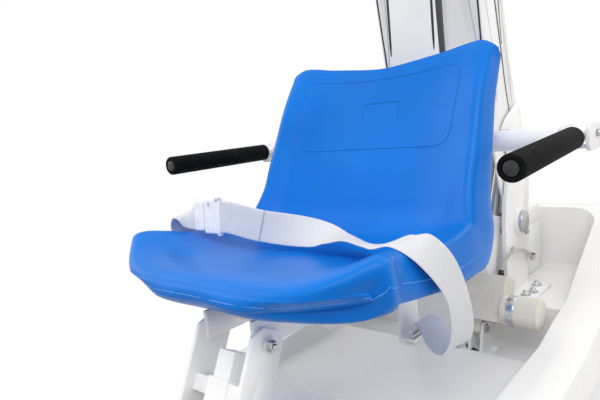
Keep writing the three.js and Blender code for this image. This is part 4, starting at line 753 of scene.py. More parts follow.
for node in WHEELS:
    low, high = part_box(node)
    centre = (low + high) / 2
    half = (high.x - low.x) / 2 / MM
    radius = (high.z - low.z) / 2 / MM
    tread = [(36.2, -half + 3), (radius - 7, -half + 0.6), (radius - 3, -half + 2.2)]
    tread += [(radius - 0.8, -half + 6), (radius, -half + 10)]
    tread += [(r, -along) for r, along in reversed(tread)]
    tyre = turned(node + "_tyre", [*tread, (36, 0), tread[0]], centre, AXLE, grey_rubber, 72)
    settle(tyre, node, stands_for=(node,))
    web = [(6, -half + 1.5), (14, -half + 1.5), (15, -half + 3), (15.5, -5), (33, -5)]
    web += [(34, -half + 3), (36.4, -half + 3)]
    web += [(r, -along) for r, along in reversed(web)]
    settle(turned(node + "_hub", [*web, web[0]], centre, AXLE, hub_plastic, 56), node)
    values = {**RIBS, "Width": (2 * half - 9) * MM, "Centre": tuple(centre), "Material": hub_plastic}
    settle(grown(node + "_ribs", wheel_ribs, values, hub_plastic), node)
print("wheels", len(WHEELS), "tyre radius", round(radius, 1), "mm")

# %% [markdown]
# The seat is one rotationally moulded shell. Its form comes from stations across the seat, front lip to
# top edge, each a section with a raised, rolled rim. Smooth curves run through the sections and through
# the stations, so the skin is continuous, and both ends are closed with a rounded lip.

# %% Seat
def spline(points, steps, closed=False):
    """A centripetal Catmull-Rom curve through the rows of an array, with so many steps between them."""
    rows = np.asarray(points, float)
    if closed:
        rows = np.concatenate([rows[-1:], rows, rows[:2]])
    else:
        rows = np.concatenate([2 * rows[:1] - rows[1:2], rows, 2 * rows[-1:] - rows[-2:-1]])
    made = []
    for k in range(len(rows) - 3):
        a, b, c, d = rows[k : k + 4]
        sides = [np.linalg.norm(q - p, axis=-1, keepdims=True) for p, q in ((a, b), (b, c), (c, d))]
        t0, t1, t2, t3 = np.cumsum([0 * sides[0]] + [np.maximum(side, 1e-6) ** 0.5 for side in sides], 0)
        for i in range(steps):
            t = t1 + (t2 - t1) * i / steps
            ab = (a * (t1 - t) + b * (t - t0)) / (t1 - t0)
            bc = (b * (t2 - t) + c * (t - t1)) / (t2 - t1)
            cd = (c * (t3 - t) + d * (t - t2)) / (t3 - t2)
            abc = (ab * (t2 - t) + bc * (t - t0)) / (t2 - t0)
            bcd = (bc * (t3 - t) + cd * (t - t1)) / (t3 - t1)
            made.append((abc * (t2 - t) + bcd * (t - t1)) / (t2 - t1))
    if not closed:
        made.append(rows[-2])
    return np.array(made)


def grid_mesh(name, rows, closed_across, uv=None):
    """A quad mesh over rows of points in metres, with an optional (U, V) for each point."""
    rows = np.asarray(rows)
    count, across = rows.shape[:2]
    faces, spans = [], across if closed_across else across - 1
    for i in range(count - 1):
        for j in range(spans):
            n = (j + 1) % across
            faces.append((i * across + j, i * across + n, (i + 1) * across + n, (i + 1) * across + j))
    mesh = bpy.data.meshes.new(name)
    mesh.from_pydata(rows.reshape(-1, 3).tolist(), [], faces)
    if uv is not None:
        layer = mesh.uv_layers.new(name="strap")
        flat = np.asarray(uv, float).reshape(-1, 2)
        layer.uv.foreach_set("vector", flat[[v for face in faces for v in face]].ravel())
    return mesh


def cleaned(mesh, weld_mm=0.05):
    """Welds the mesh's loose points and turns its faces outward."""
    shape = bmesh.new()
    shape.from_mesh(mesh)
    bmesh.ops.remove_doubles(shape, verts=shape.verts, dist=weld_mm * MM)
    bmesh.ops.recalc_face_normals(shape, faces=shape.faces)
    shape.to_mesh(mesh)
    shape.free()
    return mesh


# Each row: Y and Z of the middle of the upper face, half width, rim rise, thickness (0 reaches down to
# the frame) and how far the corners are drawn in.
SEAT_STATIONS = [
    (-496, 447, 218, 5, 18, -66),
    (-492, 452, 225, 10, 28, -62),
    (-484, 456, 232, 14, 38, -55),
    (-470, 458, 236, 21, 48, -42),
    (-448, 457, 237, 29, 55, -22),
    (-420, 453, 235, 36, 0, -6),
    (-385, 449, 223, 35, 0, -1),
    (-350, 445, 224, 30, 0, 0),
    (-300, 440, 226, 28, 0, 0),
    (-240, 436, 227, 32, 0, 0),
    (-195, 437, 227, 36, 40, 0),
    (-160, 446, 224, 37, 52, 0),
    (-136, 470, 220, 38, 48, 0),
    (-120, 505, 213, 34, 38, 0),
    (-103, 548, 211, 31, 34, 0),
    (-84, 592, 209, 28, 32, 0),
    (-64, 638, 206, 25, 30, 2),
    (-47, 676, 206, 18, 30, 6),
    (-34, 704, 206, 12, 30, 12),
    (-27, 717, 208, 9, 24, 15),
    (-24, 722, 209, 7, 12, 19),
]
RIM_SHARES = [(0, 0), (0.3, 0.03), (0.55, 0.17), (0.74, 0.5), (0.87, 0.86), (0.94, 1), (0.985, 0.86)]
UNDER_SHARE, HULL_SHARE, HULL_RUN = 0.84, 0.65, 100
SKIRT_REAR, SKIRT_SLOPE, SKIRT_LEAST, SKIRT_MOST_SHARE, EDGE_ROUND = -180, 0.145, 8, 0.6, 14
CORNER_PEAK, NOSE_ROUND, CORNER_LIFT, CORNER_POWER, BACK_DIP = 0.81, 0.56, 24, 1.5, 7.4
UNDER_SHARES = [1, UNDER_SHARE, UNDER_SHARE / 2, 0, -UNDER_SHARE / 2, -UNDER_SHARE, -1]
SEAT_UNDERSIDE = 396.3


def hull(share, skirt, y):
    """How far the underside has risen towards the skirt at that share of the half width."""
    run = min(1, (y - SEAT_STATIONS[0][0]) / HULL_RUN)
    return HULL_SHARE * run * skirt * (share / UNDER_SHARE) ** 2


def seat_ring(i):
    y, z, half, rise, thickness, corner = SEAT_STATIONS[i]
    before = SEAT_STATIONS[max(0, i - 1)]
    after = SEAT_STATIONS[min(len(SEAT_STATIONS) - 1, i + 1)]
    along = Vector((after[0] - before[0], after[1] - before[1])).normalized()
    if corner < 0:
        along = Vector((1, 0))
    up = Vector((-along.y, along.x))
    deep = thickness or z - SEAT_UNDERSIDE
    edge = min(EDGE_ROUND, (rise + deep) / 3)
    skirt = min(max(SKIRT_LEAST, (SKIRT_REAR - y) * SKIRT_SLOPE), (rise + deep) * SKIRT_MOST_SHARE)

    def place(share, height, plan=None):
        plan = abs(share) if plan is None else plan
        lobe = min(1, plan / CORNER_PEAK)
        start = NOSE_ROUND if corner < 0 else CORNER_PEAK
        fall = max(0, (plan - start) / (1 - start))
        lift = CORNER_LIFT * lobe**CORNER_POWER - BACK_DIP if corner > 0 else 0
        shift = lift - corner * fall * fall
        return (share * half, y + up.x * height + along.x * shift, z + up.y * height + along.y * shift)

    ring = [place(-s, rise * h) for s, h in reversed(RIM_SHARES[1:])]
    ring += [place(s, rise * h) for s, h in RIM_SHARES]
    ring.append(place(1, rise - edge))
    ring += [
        place(s, skirt - deep)
        if abs(s) == 1
        else place(s, hull(s, skirt, y) - deep, abs(s / UNDER_SHARE))
        for s in UNDER_SHARES
    ]
    ring.append(place(-1, rise - edge))
    return ring


def end_lip(ring, outward, bulge):
    """Rows that close the ring at an end with a round edge, pushed outward by the bulge."""
    ring = np.asarray(ring)
    left, right_end = int(np.argmin(ring[:, 0])), int(np.argmax(ring[:, 0]))
    top = np.roll(ring, -left, axis=0)[: (right_end - left) % len(ring) + 1]
    under = np.roll(ring, -right_end, axis=0)[: (left - right_end) % len(ring) + 1][::-1]

    def at_x(line, axis):
        return np.interp(ring[:, 0], line[:, 0], line[:, axis])

    middle_y = (at_x(top, 1) + at_x(under, 1)) / 2
    middle_z = (at_x(top, 2) + at_x(under, 2)) / 2
    middle = np.stack([ring[:, 0], middle_y, middle_z], 1)
    rows = []
    for angle in (0.35, 0.7, 1.0, 1.25, 1.45, math.pi / 2):
        shrink, push = math.cos(angle), math.sin(angle)
        rows.append(middle + (ring - middle) * shrink + np.asarray(outward) * bulge * push)
    return rows


STEP_ROWS, STEP_COLUMNS, LIP_BULGE = 8, 6, 4.0
coarse = [spline(seat_ring(i), STEP_COLUMNS, closed=True) for i in range(len(SEAT_STATIONS))]
rows = list(spline(coarse, STEP_ROWS))
front_lip = end_lip(rows[0], (0, -1, 0), LIP_BULGE)[::-1]
back_lip = end_lip(rows[-1], (0, 0.1, 1), LIP_BULGE)
rows = np.array(front_lip + rows + back_lip)
rows_m = rows * MM
rows_m[:, :, 1] += axis_y
seat_mesh = cleaned(grid_mesh("seat", rows_m, True))
smooth(seat_mesh, 60)
seat = linked("moulded_seat", seat_mesh, blue_polyethylene)
settle(seat, "seat_shell", stands_for=("seat_shell",))
print("seat faces", len(seat_mesh.polygons))

# %% [markdown]
# Two lines are moulded into the backrest: a shallow groove round a panel with large corners, and a
# three-sided one at its middle. They are only a millimetre deep, finer than the mesh, so they go into
# the plastic's height. The panel is a distance field in the plane of the seat's width and height.

# %% Grooves in the backrest
tree = blue_polyethylene.node_tree
shader = tree.nodes["Principled BSDF"]
place = add(tree, "ShaderNodeTexCoord")
spot = add(tree, "ShaderNodeSeparateXYZ", {"Vector": place.outputs["Object"]})
fields = {axis.lower(): spot.outputs[axis] for axis in "XYZ"}
PANEL_HALF, PANEL_LEAN, PANEL_TOP, PANEL_FOOT, PANEL_CORNER = 0.1345, -0.035, 0.6965, 0.5775, 0.045
INNER_X, INNER_HALF, INNER_TOP, INNER_FOOT = 0.012, 0.0355, 0.656, 0.629
GROOVE = {"From Min": 0.0003, "From Max": 0.0022}
FINE_GROOVE = {"From Min": 0.0002, "From Max": 0.0011}
BACK_FRONT_Y = 0.0885
for made, kind, *terms in [
    ("width", "ABSOLUTE", "x"),
    ("beside", "SUBTRACT", "width", PANEL_HALF),
    ("side_out", "MULTIPLY_ADD", "z", PANEL_LEAN, "beside"),
    ("squared", "MULTIPLY", "width", "width"),
    ("bow", "MULTIPLY_ADD", "squared", -0.5, "z"),
    ("top_out", "SUBTRACT", "bow", PANEL_TOP),
    ("low_out", "SUBTRACT", PANEL_FOOT, "z"),
    ("ends", "MAXIMUM", "top_out", "low_out"),
    ("panel", "SMOOTH_MAX", "ends", "side_out", PANEL_CORNER),
    ("panel_off", "ABSOLUTE", "panel"),
    ("near_panel", GROOVE, "panel_off"),
    ("shifted", "SUBTRACT", "x", INNER_X),
    ("shifted_off", "ABSOLUTE", "shifted"),
    ("inner_side", "SUBTRACT", "shifted_off", INNER_HALF),
    ("inner_top", "SUBTRACT", "z", INNER_TOP),
    ("inner", "MAXIMUM", "inner_side", "inner_top"),
    ("inner_off", "ABSOLUTE", "inner"),
    ("near_inner", FINE_GROOVE, "inner_off"),
    ("above_foot", "GREATER_THAN", "z", INNER_FOOT),
    ("inner_line", "MULTIPLY", "near_inner", "above_foot"),
    ("both", "MAXIMUM", "near_panel", "inner_line"),
    ("front_face", "LESS_THAN", "y", BACK_FRONT_Y),
    ("lines", "MULTIPLY", "both", "front_face"),
]:
    links = {i: fields.get(term, term) for i, term in enumerate(terms)}
    if isinstance(kind, dict):
        reach = {"Value": links[0], "To Min": 1.0, "To Max": 0.0, **kind}
        step = add(tree, "ShaderNodeMapRange", reach, interpolation_type="SMOOTHSTEP")
    else:
        step = add(tree, "ShaderNodeMath", links, operation=kind)
    fields[made] = step
groove = add(
    tree, "ShaderNodeBump", {"Height": fields["lines"], "Distance": 1.1 * MM, "Strength": 1.0}, invert=True
)
tree.links.new(tree.nodes["Bump"].outputs["Normal"], groove.inputs["Normal"])
tree.links.new(groove.outputs["Normal"], shader.inputs["Normal"])
print("groove field nodes", len(tree.nodes))

# %% [markdown]
# Where the two halves of the mould met, a thin flash line runs round the seat's skirt. It shows as a fine
# pale broken line; its pale blue is a painted highlight along the ridge. It is a thin bead along one column
# of the seat's own mesh on each side and across the lip, with gaps between its pieces.

# %% Parting line
def along_line(line):
    """The unit direction of a line at each of its points."""
    ways = np.gradient(line, axis=0)
    return ways / np.linalg.norm(ways, axis=1, keepdims=True)


def tube_mesh(name, line, radius_mm, sides):
    """A round tube of that radius along points in metres, closed at both ends."""
    line = np.asarray(line, float)
    tangents = along_line(line)
    side = np.array(Vector(tangents[0]).orthogonal().normalized())
    rings = []
    for point, tangent in zip(line, tangents):
        side = side - tangent * side.dot(tangent)
        side /= np.linalg.norm(side)
        other = np.cross(tangent, side)
        turns = [k * math.tau / sides for k in range(sides)]
        rings.append([point + (side * math.cos(t) + other * math.sin(t)) * radius_mm * MM for t in turns])
    rings = [[line[0]] * sides] + rings + [[line[-1]] * sides]
    mesh = cleaned(grid_mesh(name, rings, True), 0.001)
    smooth(mesh, 50)
    return mesh


LINE_STATIONS, LEFT_SKIRT, RIGHT_SKIRT = 10, 13.58, 20.42
FLASH_STEP_MM, FLASH_R, FLASH_SIDES = 3.2, 0.42, 6
last_row = len(front_lip) + LINE_STATIONS * STEP_ROWS
left_column = round(LEFT_SKIRT * STEP_COLUMNS)
right_column = round(RIGHT_SKIRT * STEP_COLUMNS)
ring_columns = rows_m.shape[1]
across_nose = [k % ring_columns for k in range(left_column, right_column - ring_columns - 1, -1)]
whole = np.concatenate(
    [rows_m[last_row:0:-1, left_column], rows_m[0, across_nose], rows_m[1 : last_row + 1, right_column]]
)
steps = np.linalg.norm(np.diff(whole, axis=0), axis=1)
travelled = np.concatenate([[0], np.cumsum(steps)])
stops = np.arange(0, travelled[-1], FLASH_STEP_MM * MM)
flash = np.stack([np.interp(stops, travelled, whole[:, axis]) for axis in range(3)], 1)
rng = np.random.default_rng(7)
start, pieces_made = 0, []
while start < len(flash) - 4:
    length = int(rng.integers(9, 34))
    stretch = flash[start : start + length]
    if len(stretch) > 3:
        pieces_made.append(tube_mesh("flash", stretch, FLASH_R, FLASH_SIDES))
    start += length + int(rng.integers(1, 5))
shape = bmesh.new()
for mesh in pieces_made:
    shape.from_mesh(mesh)
settle(linked("parting_line", mesh_of(shape, "parting_line", 60), flash_highlight_look), "seat_shell")
print("parting line pieces", len(pieces_made))

# %% [markdown]
# The lap belt is flat polyester webbing, 50 mm wide. It leaves a slot in each belt plate, hangs in a
# loop and crosses the lap to the buckle. It is modelled directly as a ribbon: a route, and the way that
# the width points at each place. The herringbone follows the ribbon's own U and V.

# %% Lap belt
WEBBING_WIDE, WEBBING_THICK = 50, 2.1


def ribbon_rows(route, steps, bow=0.6):
    """Rows of a closed strap section along the route, with U across and V along in millimetres."""
    full = spline([row[:3] for row in route], steps)
    turns = spline([row[3:] for row in route], steps)
    tangents = along_line(full)
    across = turns - tangents * (turns * tangents).sum(1, keepdims=True)
    across /= np.linalg.norm(across, axis=1, keepdims=True)
    out = np.cross(tangents, across)
    run = np.concatenate([[0], np.cumsum(np.linalg.norm(np.diff(full, axis=0), axis=1))])
    inner = [-0.49, -0.46, -0.35, -0.2, 0, 0.2, 0.35, 0.46, 0.49]
    section = [(s, 1) for s in inner] + [(0.5, 0)] + [(s, -1) for s in inner[::-1]] + [(-0.5, 0)]
    rows, uv = [], []
    for i in range(len(full)):
        row, flat = [], []
        for s, level in section:
            lift = bow * (1 - (2 * s) ** 2)
            thick = level * WEBBING_THICK / 2 * (0.78 if abs(s) > 0.48 else 1)
            row.append(full[i] + across[i] * s * WEBBING_WIDE + out[i] * (thick + lift))
            flat.append((WEBBING_WIDE / 2 + s * WEBBING_WIDE, run[i]))
        rows.append(row)
        uv.append(flat)
    return np.array(rows), np.array(uv), full, across, out


def strap(name, rows, uv, look):
    """A closed ribbon mesh from rows in machine millimetres."""
    rows = rows.copy() * MM
    rows[:, :, 1] += axis_y
    ends = [np.repeat(rows[k].mean(0)[None], rows.shape[1], 0) for k in (0, -1)]
    lip = [rows[k] * 0.999 + rows[k].mean(0) * 0.001 for k in (0, -1)]
    shape_rows = np.concatenate([[ends[0]], [lip[0]], rows, [lip[1]], [ends[1]]])
    uv_rows = np.concatenate([[uv[0]], [uv[0]], uv, [uv[-1]], [uv[-1]]])
    mesh = cleaned(grid_mesh(name, shape_rows, True, uv_rows), 0.002)
    smooth(mesh, 55)
    return linked(name, mesh, look)


BELT_LEFT = [
    (102.5, -136, 262, 0, 1, 0),
    (102.5, -136, 286, 0, 1, 0),
    (107, -137, 300, 0, 1, 0),
    (120, -142, 303, 0.2, 1, 0),
    (140, -156, 295, 0.5, 1, 0),
    (165, -176, 285, 0.65, 1, 0.1),
    (192, -198, 294, 0.6, 0.9, 0.3),
    (215, -224, 323, 0.45, 0.9, 0.45),
    (233, -256, 367, 0.2, 0.85, 0.55),
    (243, -296, 426, 0, 0.83, 0.55),
    (240, -324, 460, 0, 0.83, 0.5),
    (226, -338, 480, 0, 0.9, 0.35),
    (202, -338, 485, -0.1, 1, 0.05),
    (160, -320, 473, -0.4, 0.9, -0.18),
    (100, -288, 464, -0.57, 0.8, -0.21),
    (50, -272, 463, -0.5, 0.8, 0.1),
    (0, -265, 467, -0.1, 0.6, 0.7),
    (-70, -302, 482, 0, 0.1, 1),
    (-116, -324.5, 497.8, 0, 0.1, 1),
    (-133, -328.75, 498.94, 0, 0.1, 1),
]
BELT_RIGHT = [(-x, y, z, -across_x, *rest) for x, y, z, across_x, *rest in BELT_LEFT[:9]] + [
    (-243, -296, 428, 0, 0.85, 0.5),
    (-241, -318, 462, 0, 0.9, 0.4),
    (-234, -330, 486, 0, 1, 0.2),
    (-221, -334, 500, 0, 1, 0.08),
    (-209, -333, 503.2, 0, 0.8, 0.45),
    (-198.45, -332.95, 502.05, 0, 0.3, 0.95),
    (-188.45, -333.95, 501.05, 0, 0.1, 1),
]
left_rows, left_uv, left_line_mm, left_across, left_out = ribbon_rows(BELT_LEFT, 12)
settle(strap("webbing_left", left_rows, left_uv, webbing), "belt_left", stands_for=("belt_left",))
right_rows, right_uv, *_ = ribbon_rows(BELT_RIGHT, 12)
settle(strap("webbing_right", right_rows, right_uv, webbing), "belt_right", stands_for=("belt_right",))

# The tail goes through the buckle and lies doubled on the belt, with a folded, stitched end.
facing = np.sign((left_out[-1] * np.array((0.3, -1, 0))).sum())
TAIL_STEPS, TAIL_LIFT, TAIL_SWELL = 26, 2.9, 0.9
belt_end = len(left_line_mm) - 1
tail = []
for back in range(0, TAIL_STEPS - 1, 2):
    lift = TAIL_LIFT + TAIL_SWELL * math.sin(math.pi * back / TAIL_STEPS)
    place = left_line_mm[belt_end - back] + left_out[belt_end - back] * facing * lift
    tail.append((*place, *left_across[belt_end - back]))
tail_rows, tail_uv, tail_line, tail_across, tail_out = ribbon_rows(tail, 4, bow=0.0)
settle(strap("webbing_tail", tail_rows, tail_uv, webbing), "belt_left")
print("belt left", len(left_rows), "rows, tail", len(tail_rows))

# %% [markdown]
# A sewn fold carries a cross-stitched box where the tail is caught. Stitches repeat, so one Geometry
# Nodes tree lays small thread capsules along any path at an even pitch.

# %% Stitches
AS_MADE = {"transform_space": "ORIGINAL"}
stitch_tree = grow_tree(
    "stitch_row",
    {"Path": "Object", "Pitch": "Float", "Stitch": "Float", "Thread": "Float", "Material": "Material"},
    [
        ("source", "GeometryNodeObjectInfo", {"Object": "Path"}, AS_MADE),
        ("line", "GeometryNodeMeshToCurve", {"Mesh": "source.Geometry"}),
        ("spots", "GeometryNodeResampleCurve", {"Curve": "line", "Length": "Pitch"}, {"mode": "LENGTH"}),
        ("tangent", "GeometryNodeInputTangent", {}),
        ("aim", "FunctionNodeAlignRotationToVector", {"Vector": "tangent"}, {"axis": "Z"}),
        ("ball", "GeometryNodeMeshUVSphere", {"Segments": 8, "Rings": 6, "Radius": "Thread"}),
        ("share", "ShaderNodeMath", {0: "Stitch", 1: "Thread"}, DIVIDE),
        ("longer", "ShaderNodeMath", {0: "share", 1: 0.5}, MULTIPLY),
        ("stretch", "ShaderNodeCombineXYZ", {"X": 1.0, "Y": 1.0, "Z": "longer"}),
        ("capsule", "GeometryNodeTransform", {"Geometry": "ball", "Scale": "stretch"}),
        (
            "laid",
            "GeometryNodeInstanceOnPoints",
            {"Points": "spots", "Instance": "capsule", "Rotation": "aim"},
        ),
        ("real", "GeometryNodeRealizeInstances", {"Geometry": "laid"}),
        ("coloured", "GeometryNodeSetMaterial", {"Geometry": "real", "Material": "Material"}),
    ],
)


def stitched(name, paths, node, pitch_mm=3.2, stitch_mm=2.3, thread_mm=0.38):
    """Stitches along paths of points in metres, as one mesh."""
    verts, edges = [], []
    for path in paths:
        first = len(verts)
        verts += [tuple(p) for p in path]
        edges += [(first + k, first + k + 1) for k in range(len(path) - 1)]
    guide_mesh = bpy.data.meshes.new(name + "_path")
    guide_mesh.from_pydata(verts, edges, [])
    guide = bpy.data.objects.new(name + "_path", guide_mesh)
    bpy.context.scene.collection.objects.link(guide)
    values = {
        "Path": guide,
        "Pitch": pitch_mm * MM,
        "Stitch": stitch_mm * MM,
        "Thread": thread_mm * MM,
        "Material": thread_look,
    }
    piece = grown(name, stitch_tree, values, thread_look)
    bpy.data.objects.remove(guide)
    smooth(piece.data, 60)
    return settle(piece, node)


SEWN_LIFT, SEWN_HALF, SEWN_FROM, SEWN_TO = 1.3, 20, 6, 30
face = np.sign((tail_out[5] * np.array((0.3, -1, 0))).sum())


def on_tail(i, offset):
    """A place on the tail's face: i rows along and offset millimetres across."""
    return at(*(tail_line[i] + tail_across[i] * offset + tail_out[i] * face * SEWN_LIFT))


def diagonal(i):
    """How far across the box's diagonal is at row i."""
    return -SEWN_HALF + 2 * SEWN_HALF * (i - SEWN_FROM) / (SEWN_TO - SEWN_FROM)


box = [[on_tail(i, s) for i in range(SEWN_FROM, SEWN_TO)] for s in (-SEWN_HALF, SEWN_HALF)]
box += [[on_tail(i, s) for s in range(-SEWN_HALF, SEWN_HALF + 1, 4)] for i in (SEWN_FROM, SEWN_TO)]
box += [[on_tail(i, way * diagonal(i)) for i in range(SEWN_FROM, SEWN_TO + 1)] for way in (-1, 1)]
stitched("tail_stitches", box, "belt_left")
print("stitch rows", len(box))

# %% [markdown]
# The buckle is white nylon: a body with two upright bars joined by rounded ends, and a tongue bar that
# clips beside it. Each bar is a stretched, rounded block; two small slots show where the body's core
# was drawn out of the mould.

# %% Buckle
BUCKLE_AXES = ((1, 0.17, -0.03), (0.0, 0.1, 0.995), (0.17, -0.98, 0.1))


def rounded_block(name, centre, size, edge_mm, look, segments=6):
    """A block with generous rounds, turned to the buckle's axes, in machine millimetres."""
    shape = bmesh.new()
    bmesh.ops.create_cube(shape, size=1.0)
    frame_of = Matrix([Vector(axis).normalized() for axis in BUCKLE_AXES]).transposed()
    for vert in shape.verts:
        vert.co = at(*centre) + frame_of @ (vert.co * Vector(size)) * MM
    piece = rounded(linked(name, mesh_of(shape, name, 50), look), edge_mm, segments)
    smooth(piece.data, 50)
    return piece


BUCKLE_ROUND, SLOT_LIFT, CAP_LIFT = 3.4, 20.5, 28
CAP = [(0, -2.2), (3.2, -1.9), (4.6, -0.9), (5.1, 0.6), (5.1, 2.6), (4.4, 3.4), (0, 3.4)]
buckle = []
for name, centre, size, node, stands_for in [
    ("buckle_plate", (-153.5, -331.3375, 500.2), (25, 58, 8.6), "buckle_body", ["buckle_body"]),
    ("buckle_bar", (-136.5, -329.2125, 500.2), (9, 60, 9.8), "buckle_body", []),
    ("tongue_plate", (-178, -335, 500.6), (20, 50, 7.2), "buckle_tongue", ["buckle_tongue"]),
]:
    piece = rounded_block(name, centre, size, BUCKLE_ROUND, nylon)
    buckle.append(settle(piece, node, stands_for=stands_for))
for k, way in enumerate((-1, 1)):
    centre = (-152.5, -336.3, 500 + way * SLOT_LIFT)
    slot_piece = rounded_block(f"core_slot_{k}", centre, (1.6, 6.5, 1.6), 0.6, grey_seam, 2)
    buckle.append(settle(slot_piece, "buckle_body"))
    cap_foot = at(-136.5, -330.5, 500.2 + way * CAP_LIFT)
    cap = turned(f"bar_cap_{k}", CAP, cap_foot, (0, 0.1, way), nylon, 28)
    buckle.append(settle(cap, "buckle_body"))
print("buckle pieces", len(buckle))

# %% [markdown]
# A steel bar with eased ends holds the webbing in the slot of each belt plate.

# %% Belt anchors
for side, label in ((1, "left"), (-1, "right")):
    pin = turned(
        f"anchor_bar_{label}",
        [(0, -31), (2.4, -31), (3.0, -30.2), (3.0, 30.2), (2.4, 31), (0, 31)],
        at(side * 105.8, -136, 283.5),
        (0, 1, 0),
        stainless,
        24,
    )
    settle(pin, f"belt_plate_{label}")

# %% [markdown]
# Fasteners repeat all over the lift: hexagon nuts with a domed cap, hexagon bolt heads and washers. One
# Geometry Nodes tree stands a fastener on each point of a small mesh, along that point's own direction,
# and each carrier gets its fasteners as one mesh.

# %% Fasteners
WASHER, DOME_FOOT = 1.4, 5.5


def fastener_shape(name, kind, size_mm):
    """A nut or bolt head that stands on its washer, along +Z from the origin."""
    shape = bmesh.new()
    flat = size_mm / 2 / math.cos(math.pi / 6)

    upright = (Vector((1, 0, 0)), Vector((0, 1, 0)), Vector((0, 0, 1)))

    def layers(profile, sides):
        add_turned(shape, profile, sides, Vector(), upright)

    washer = size_mm * 0.78
    rim = [(washer - 0.2, 0), (washer, 0.2), (washer, 1.1), (washer - 0.3, WASHER)]
    layers([(0, 0), *rim, (0, WASHER)], 36)
    if kind == "dome":
        layers([(0, WASHER), (flat, WASHER), (flat, 5.0), (flat * 0.86, DOME_FOOT), (0, DOME_FOOT)], 6)
        dome = flat * 0.8
        turns = [k * math.pi / 14 for k in range(1, 7)]
        crown = [(dome * math.cos(t), DOME_FOOT + dome * 0.85 * math.sin(t)) for t in turns]
        layers([(dome, 5.4)] + crown + [(0, DOME_FOOT + dome * 0.85)], 24)
    else:
        head = size_mm * 0.4
        top = WASHER + head
        layers([(0, WASHER), (flat, WASHER), (flat, WASHER + head * 0.85), (flat * 0.88, top), (0, top)], 6)
        if kind == "nut":
            thread_radius = size_mm * 0.3
            ridges = [(thread_radius * (1.0 if k % 2 else 0.88), top + 0.4 * k) for k in range(9)]
            layers([(0, top)] + ridges + [(0, top + 3.4)], 20)
    mesh = mesh_of(shape, name, 28)
    mesh.materials.append(stainless)
    return mesh


fastener_tree = grow_tree(
    "fasteners",
    {"Places": "Object", "Fastener": "Object", "Material": "Material"},
    [
        ("places", "GeometryNodeObjectInfo", {"Object": "Places"}, AS_MADE),
        ("shape", "GeometryNodeObjectInfo", {"Object": "Fastener"}, AS_MADE),
        ("way", "GeometryNodeInputNamedAttribute", {"Name": "facing"}, {"data_type": "FLOAT_VECTOR"}),
        ("turn", "GeometryNodeInputNamedAttribute", {"Name": "spin"}, {"data_type": "FLOAT"}),
        ("stand", "FunctionNodeAlignRotationToVector", {"Vector": "way"}, {"axis": "Z"}),
        ("own_turn", "ShaderNodeCombineXYZ", {"Z": "turn"}),
        ("both", "FunctionNodeRotateRotation", {0: "stand", 1: "own_turn"}, {"rotation_space": "LOCAL"}),
        (
            "placed",
            "GeometryNodeInstanceOnPoints",
            {"Points": "places.Geometry", "Instance": "shape.Geometry", "Rotation": "both"},
        ),
        ("real", "GeometryNodeRealizeInstances", {"Geometry": "placed"}),
        ("metal", "GeometryNodeSetMaterial", {"Geometry": "real", "Material": "Material"}),
    ],
)
masters = {}
for key, kind, size_mm in [
    ("dome_8", "dome", 13),
    ("dome_6", "dome", 10),
    ("bolt_6", "bolt", 10),
    ("nut_8", "nut", 13),
]:
    name = "master_" + key
    masters[key] = bpy.data.objects.new(name, fastener_shape(name, kind, size_mm))


def fasten(name, key, spots, node):
    """One mesh of fasteners: each spot is a place in metres and the way that the head points."""
    rng = np.random.default_rng(len(name) * 31 + len(spots))
    guide_mesh = bpy.data.meshes.new(name + "_spots")
    guide_mesh.from_pydata([tuple(p) for p, _ in spots], [], [])
    ways = guide_mesh.attributes.new("facing", "FLOAT_VECTOR", "POINT")
    ways.data.foreach_set("vector", [c for _, way in spots for c in Vector(way).normalized()])
    turns = guide_mesh.attributes.new("spin", "FLOAT", "POINT")
    turns.data.foreach_set("value", [float(rng.uniform(0, math.tau)) for _ in spots])
    guide = bpy.data.objects.new(name + "_spots", guide_mesh)
    for helper in (guide, masters[key]):
        if helper.name not in bpy.context.scene.collection.objects:
            bpy.context.scene.collection.objects.link(helper)
    values = {"Places": guide, "Fastener": masters[key], "Material": stainless}
    piece = grown(name, fastener_tree, values, stainless)
    bpy.data.objects.remove(guide)
    bpy.context.scene.collection.objects.unlink(masters[key])
    return settle(piece, node)


skins = {}


def surface_point(node, start, way, reach_mm=60):
    """Where a ray from a machine place meets a node's own solid, or None."""
    if node not in skins:
        source = frame["nodes"][node].data
        skins[node] = BVHTree.FromPolygons(
            [v.co.copy() for v in source.vertices], [tuple(p.vertices) for p in source.polygons]
        )
    return skins[node].ray_cast(at(*start), Vector(way), reach_mm * MM)[0]


FLANGE_NUTS = [(150, 224), (158, 248), (150, 296)]
FLANGE_TOP = 238.4
LEG_ROOT, LEG_SLANT = (-431, 372), math.radians(27)
PLATE_BOLTS = [(160, 230, 330), (160, 318, 352), (160, 232, 575)]
LEG_DOWN = (-math.sin(LEG_SLANT), -math.cos(LEG_SLANT))
LEG_NUTS = [(90, *(root + down * way for root, way in zip(LEG_ROOT, LEG_DOWN))) for down in (12, 92, 150)]
BELT_NUTS = [(140, -136, 260)]
for side, label in ((1, "left"), (-1, "right")):
    flange = [(at(side * x, y, FLANGE_TOP), (0, 0, 1)) for x, y in FLANGE_NUTS]
    fasten(f"flange_nuts_{label}", "dome_8", flange, f"side_plate_{label}")
    for name, key, places_out, carrier in [
        ("plate_bolts", "bolt_6", PLATE_BOLTS, "side_plate"),
        ("leg_nuts", "nut_8", LEG_NUTS, "leg_plate"),
        ("belt_nuts", "dome_6", BELT_NUTS, "belt_plate"),
    ]:
        node = f"{carrier}_{label}"
        hits = [surface_point(node, (side * x, y, z), (-side, 0, 0)) for x, y, z in places_out]
        spots = [(hit, (side, 0, 0)) for hit in hits if hit]
        if spots:
            fasten(f"{name}_{label}", key, spots, node)
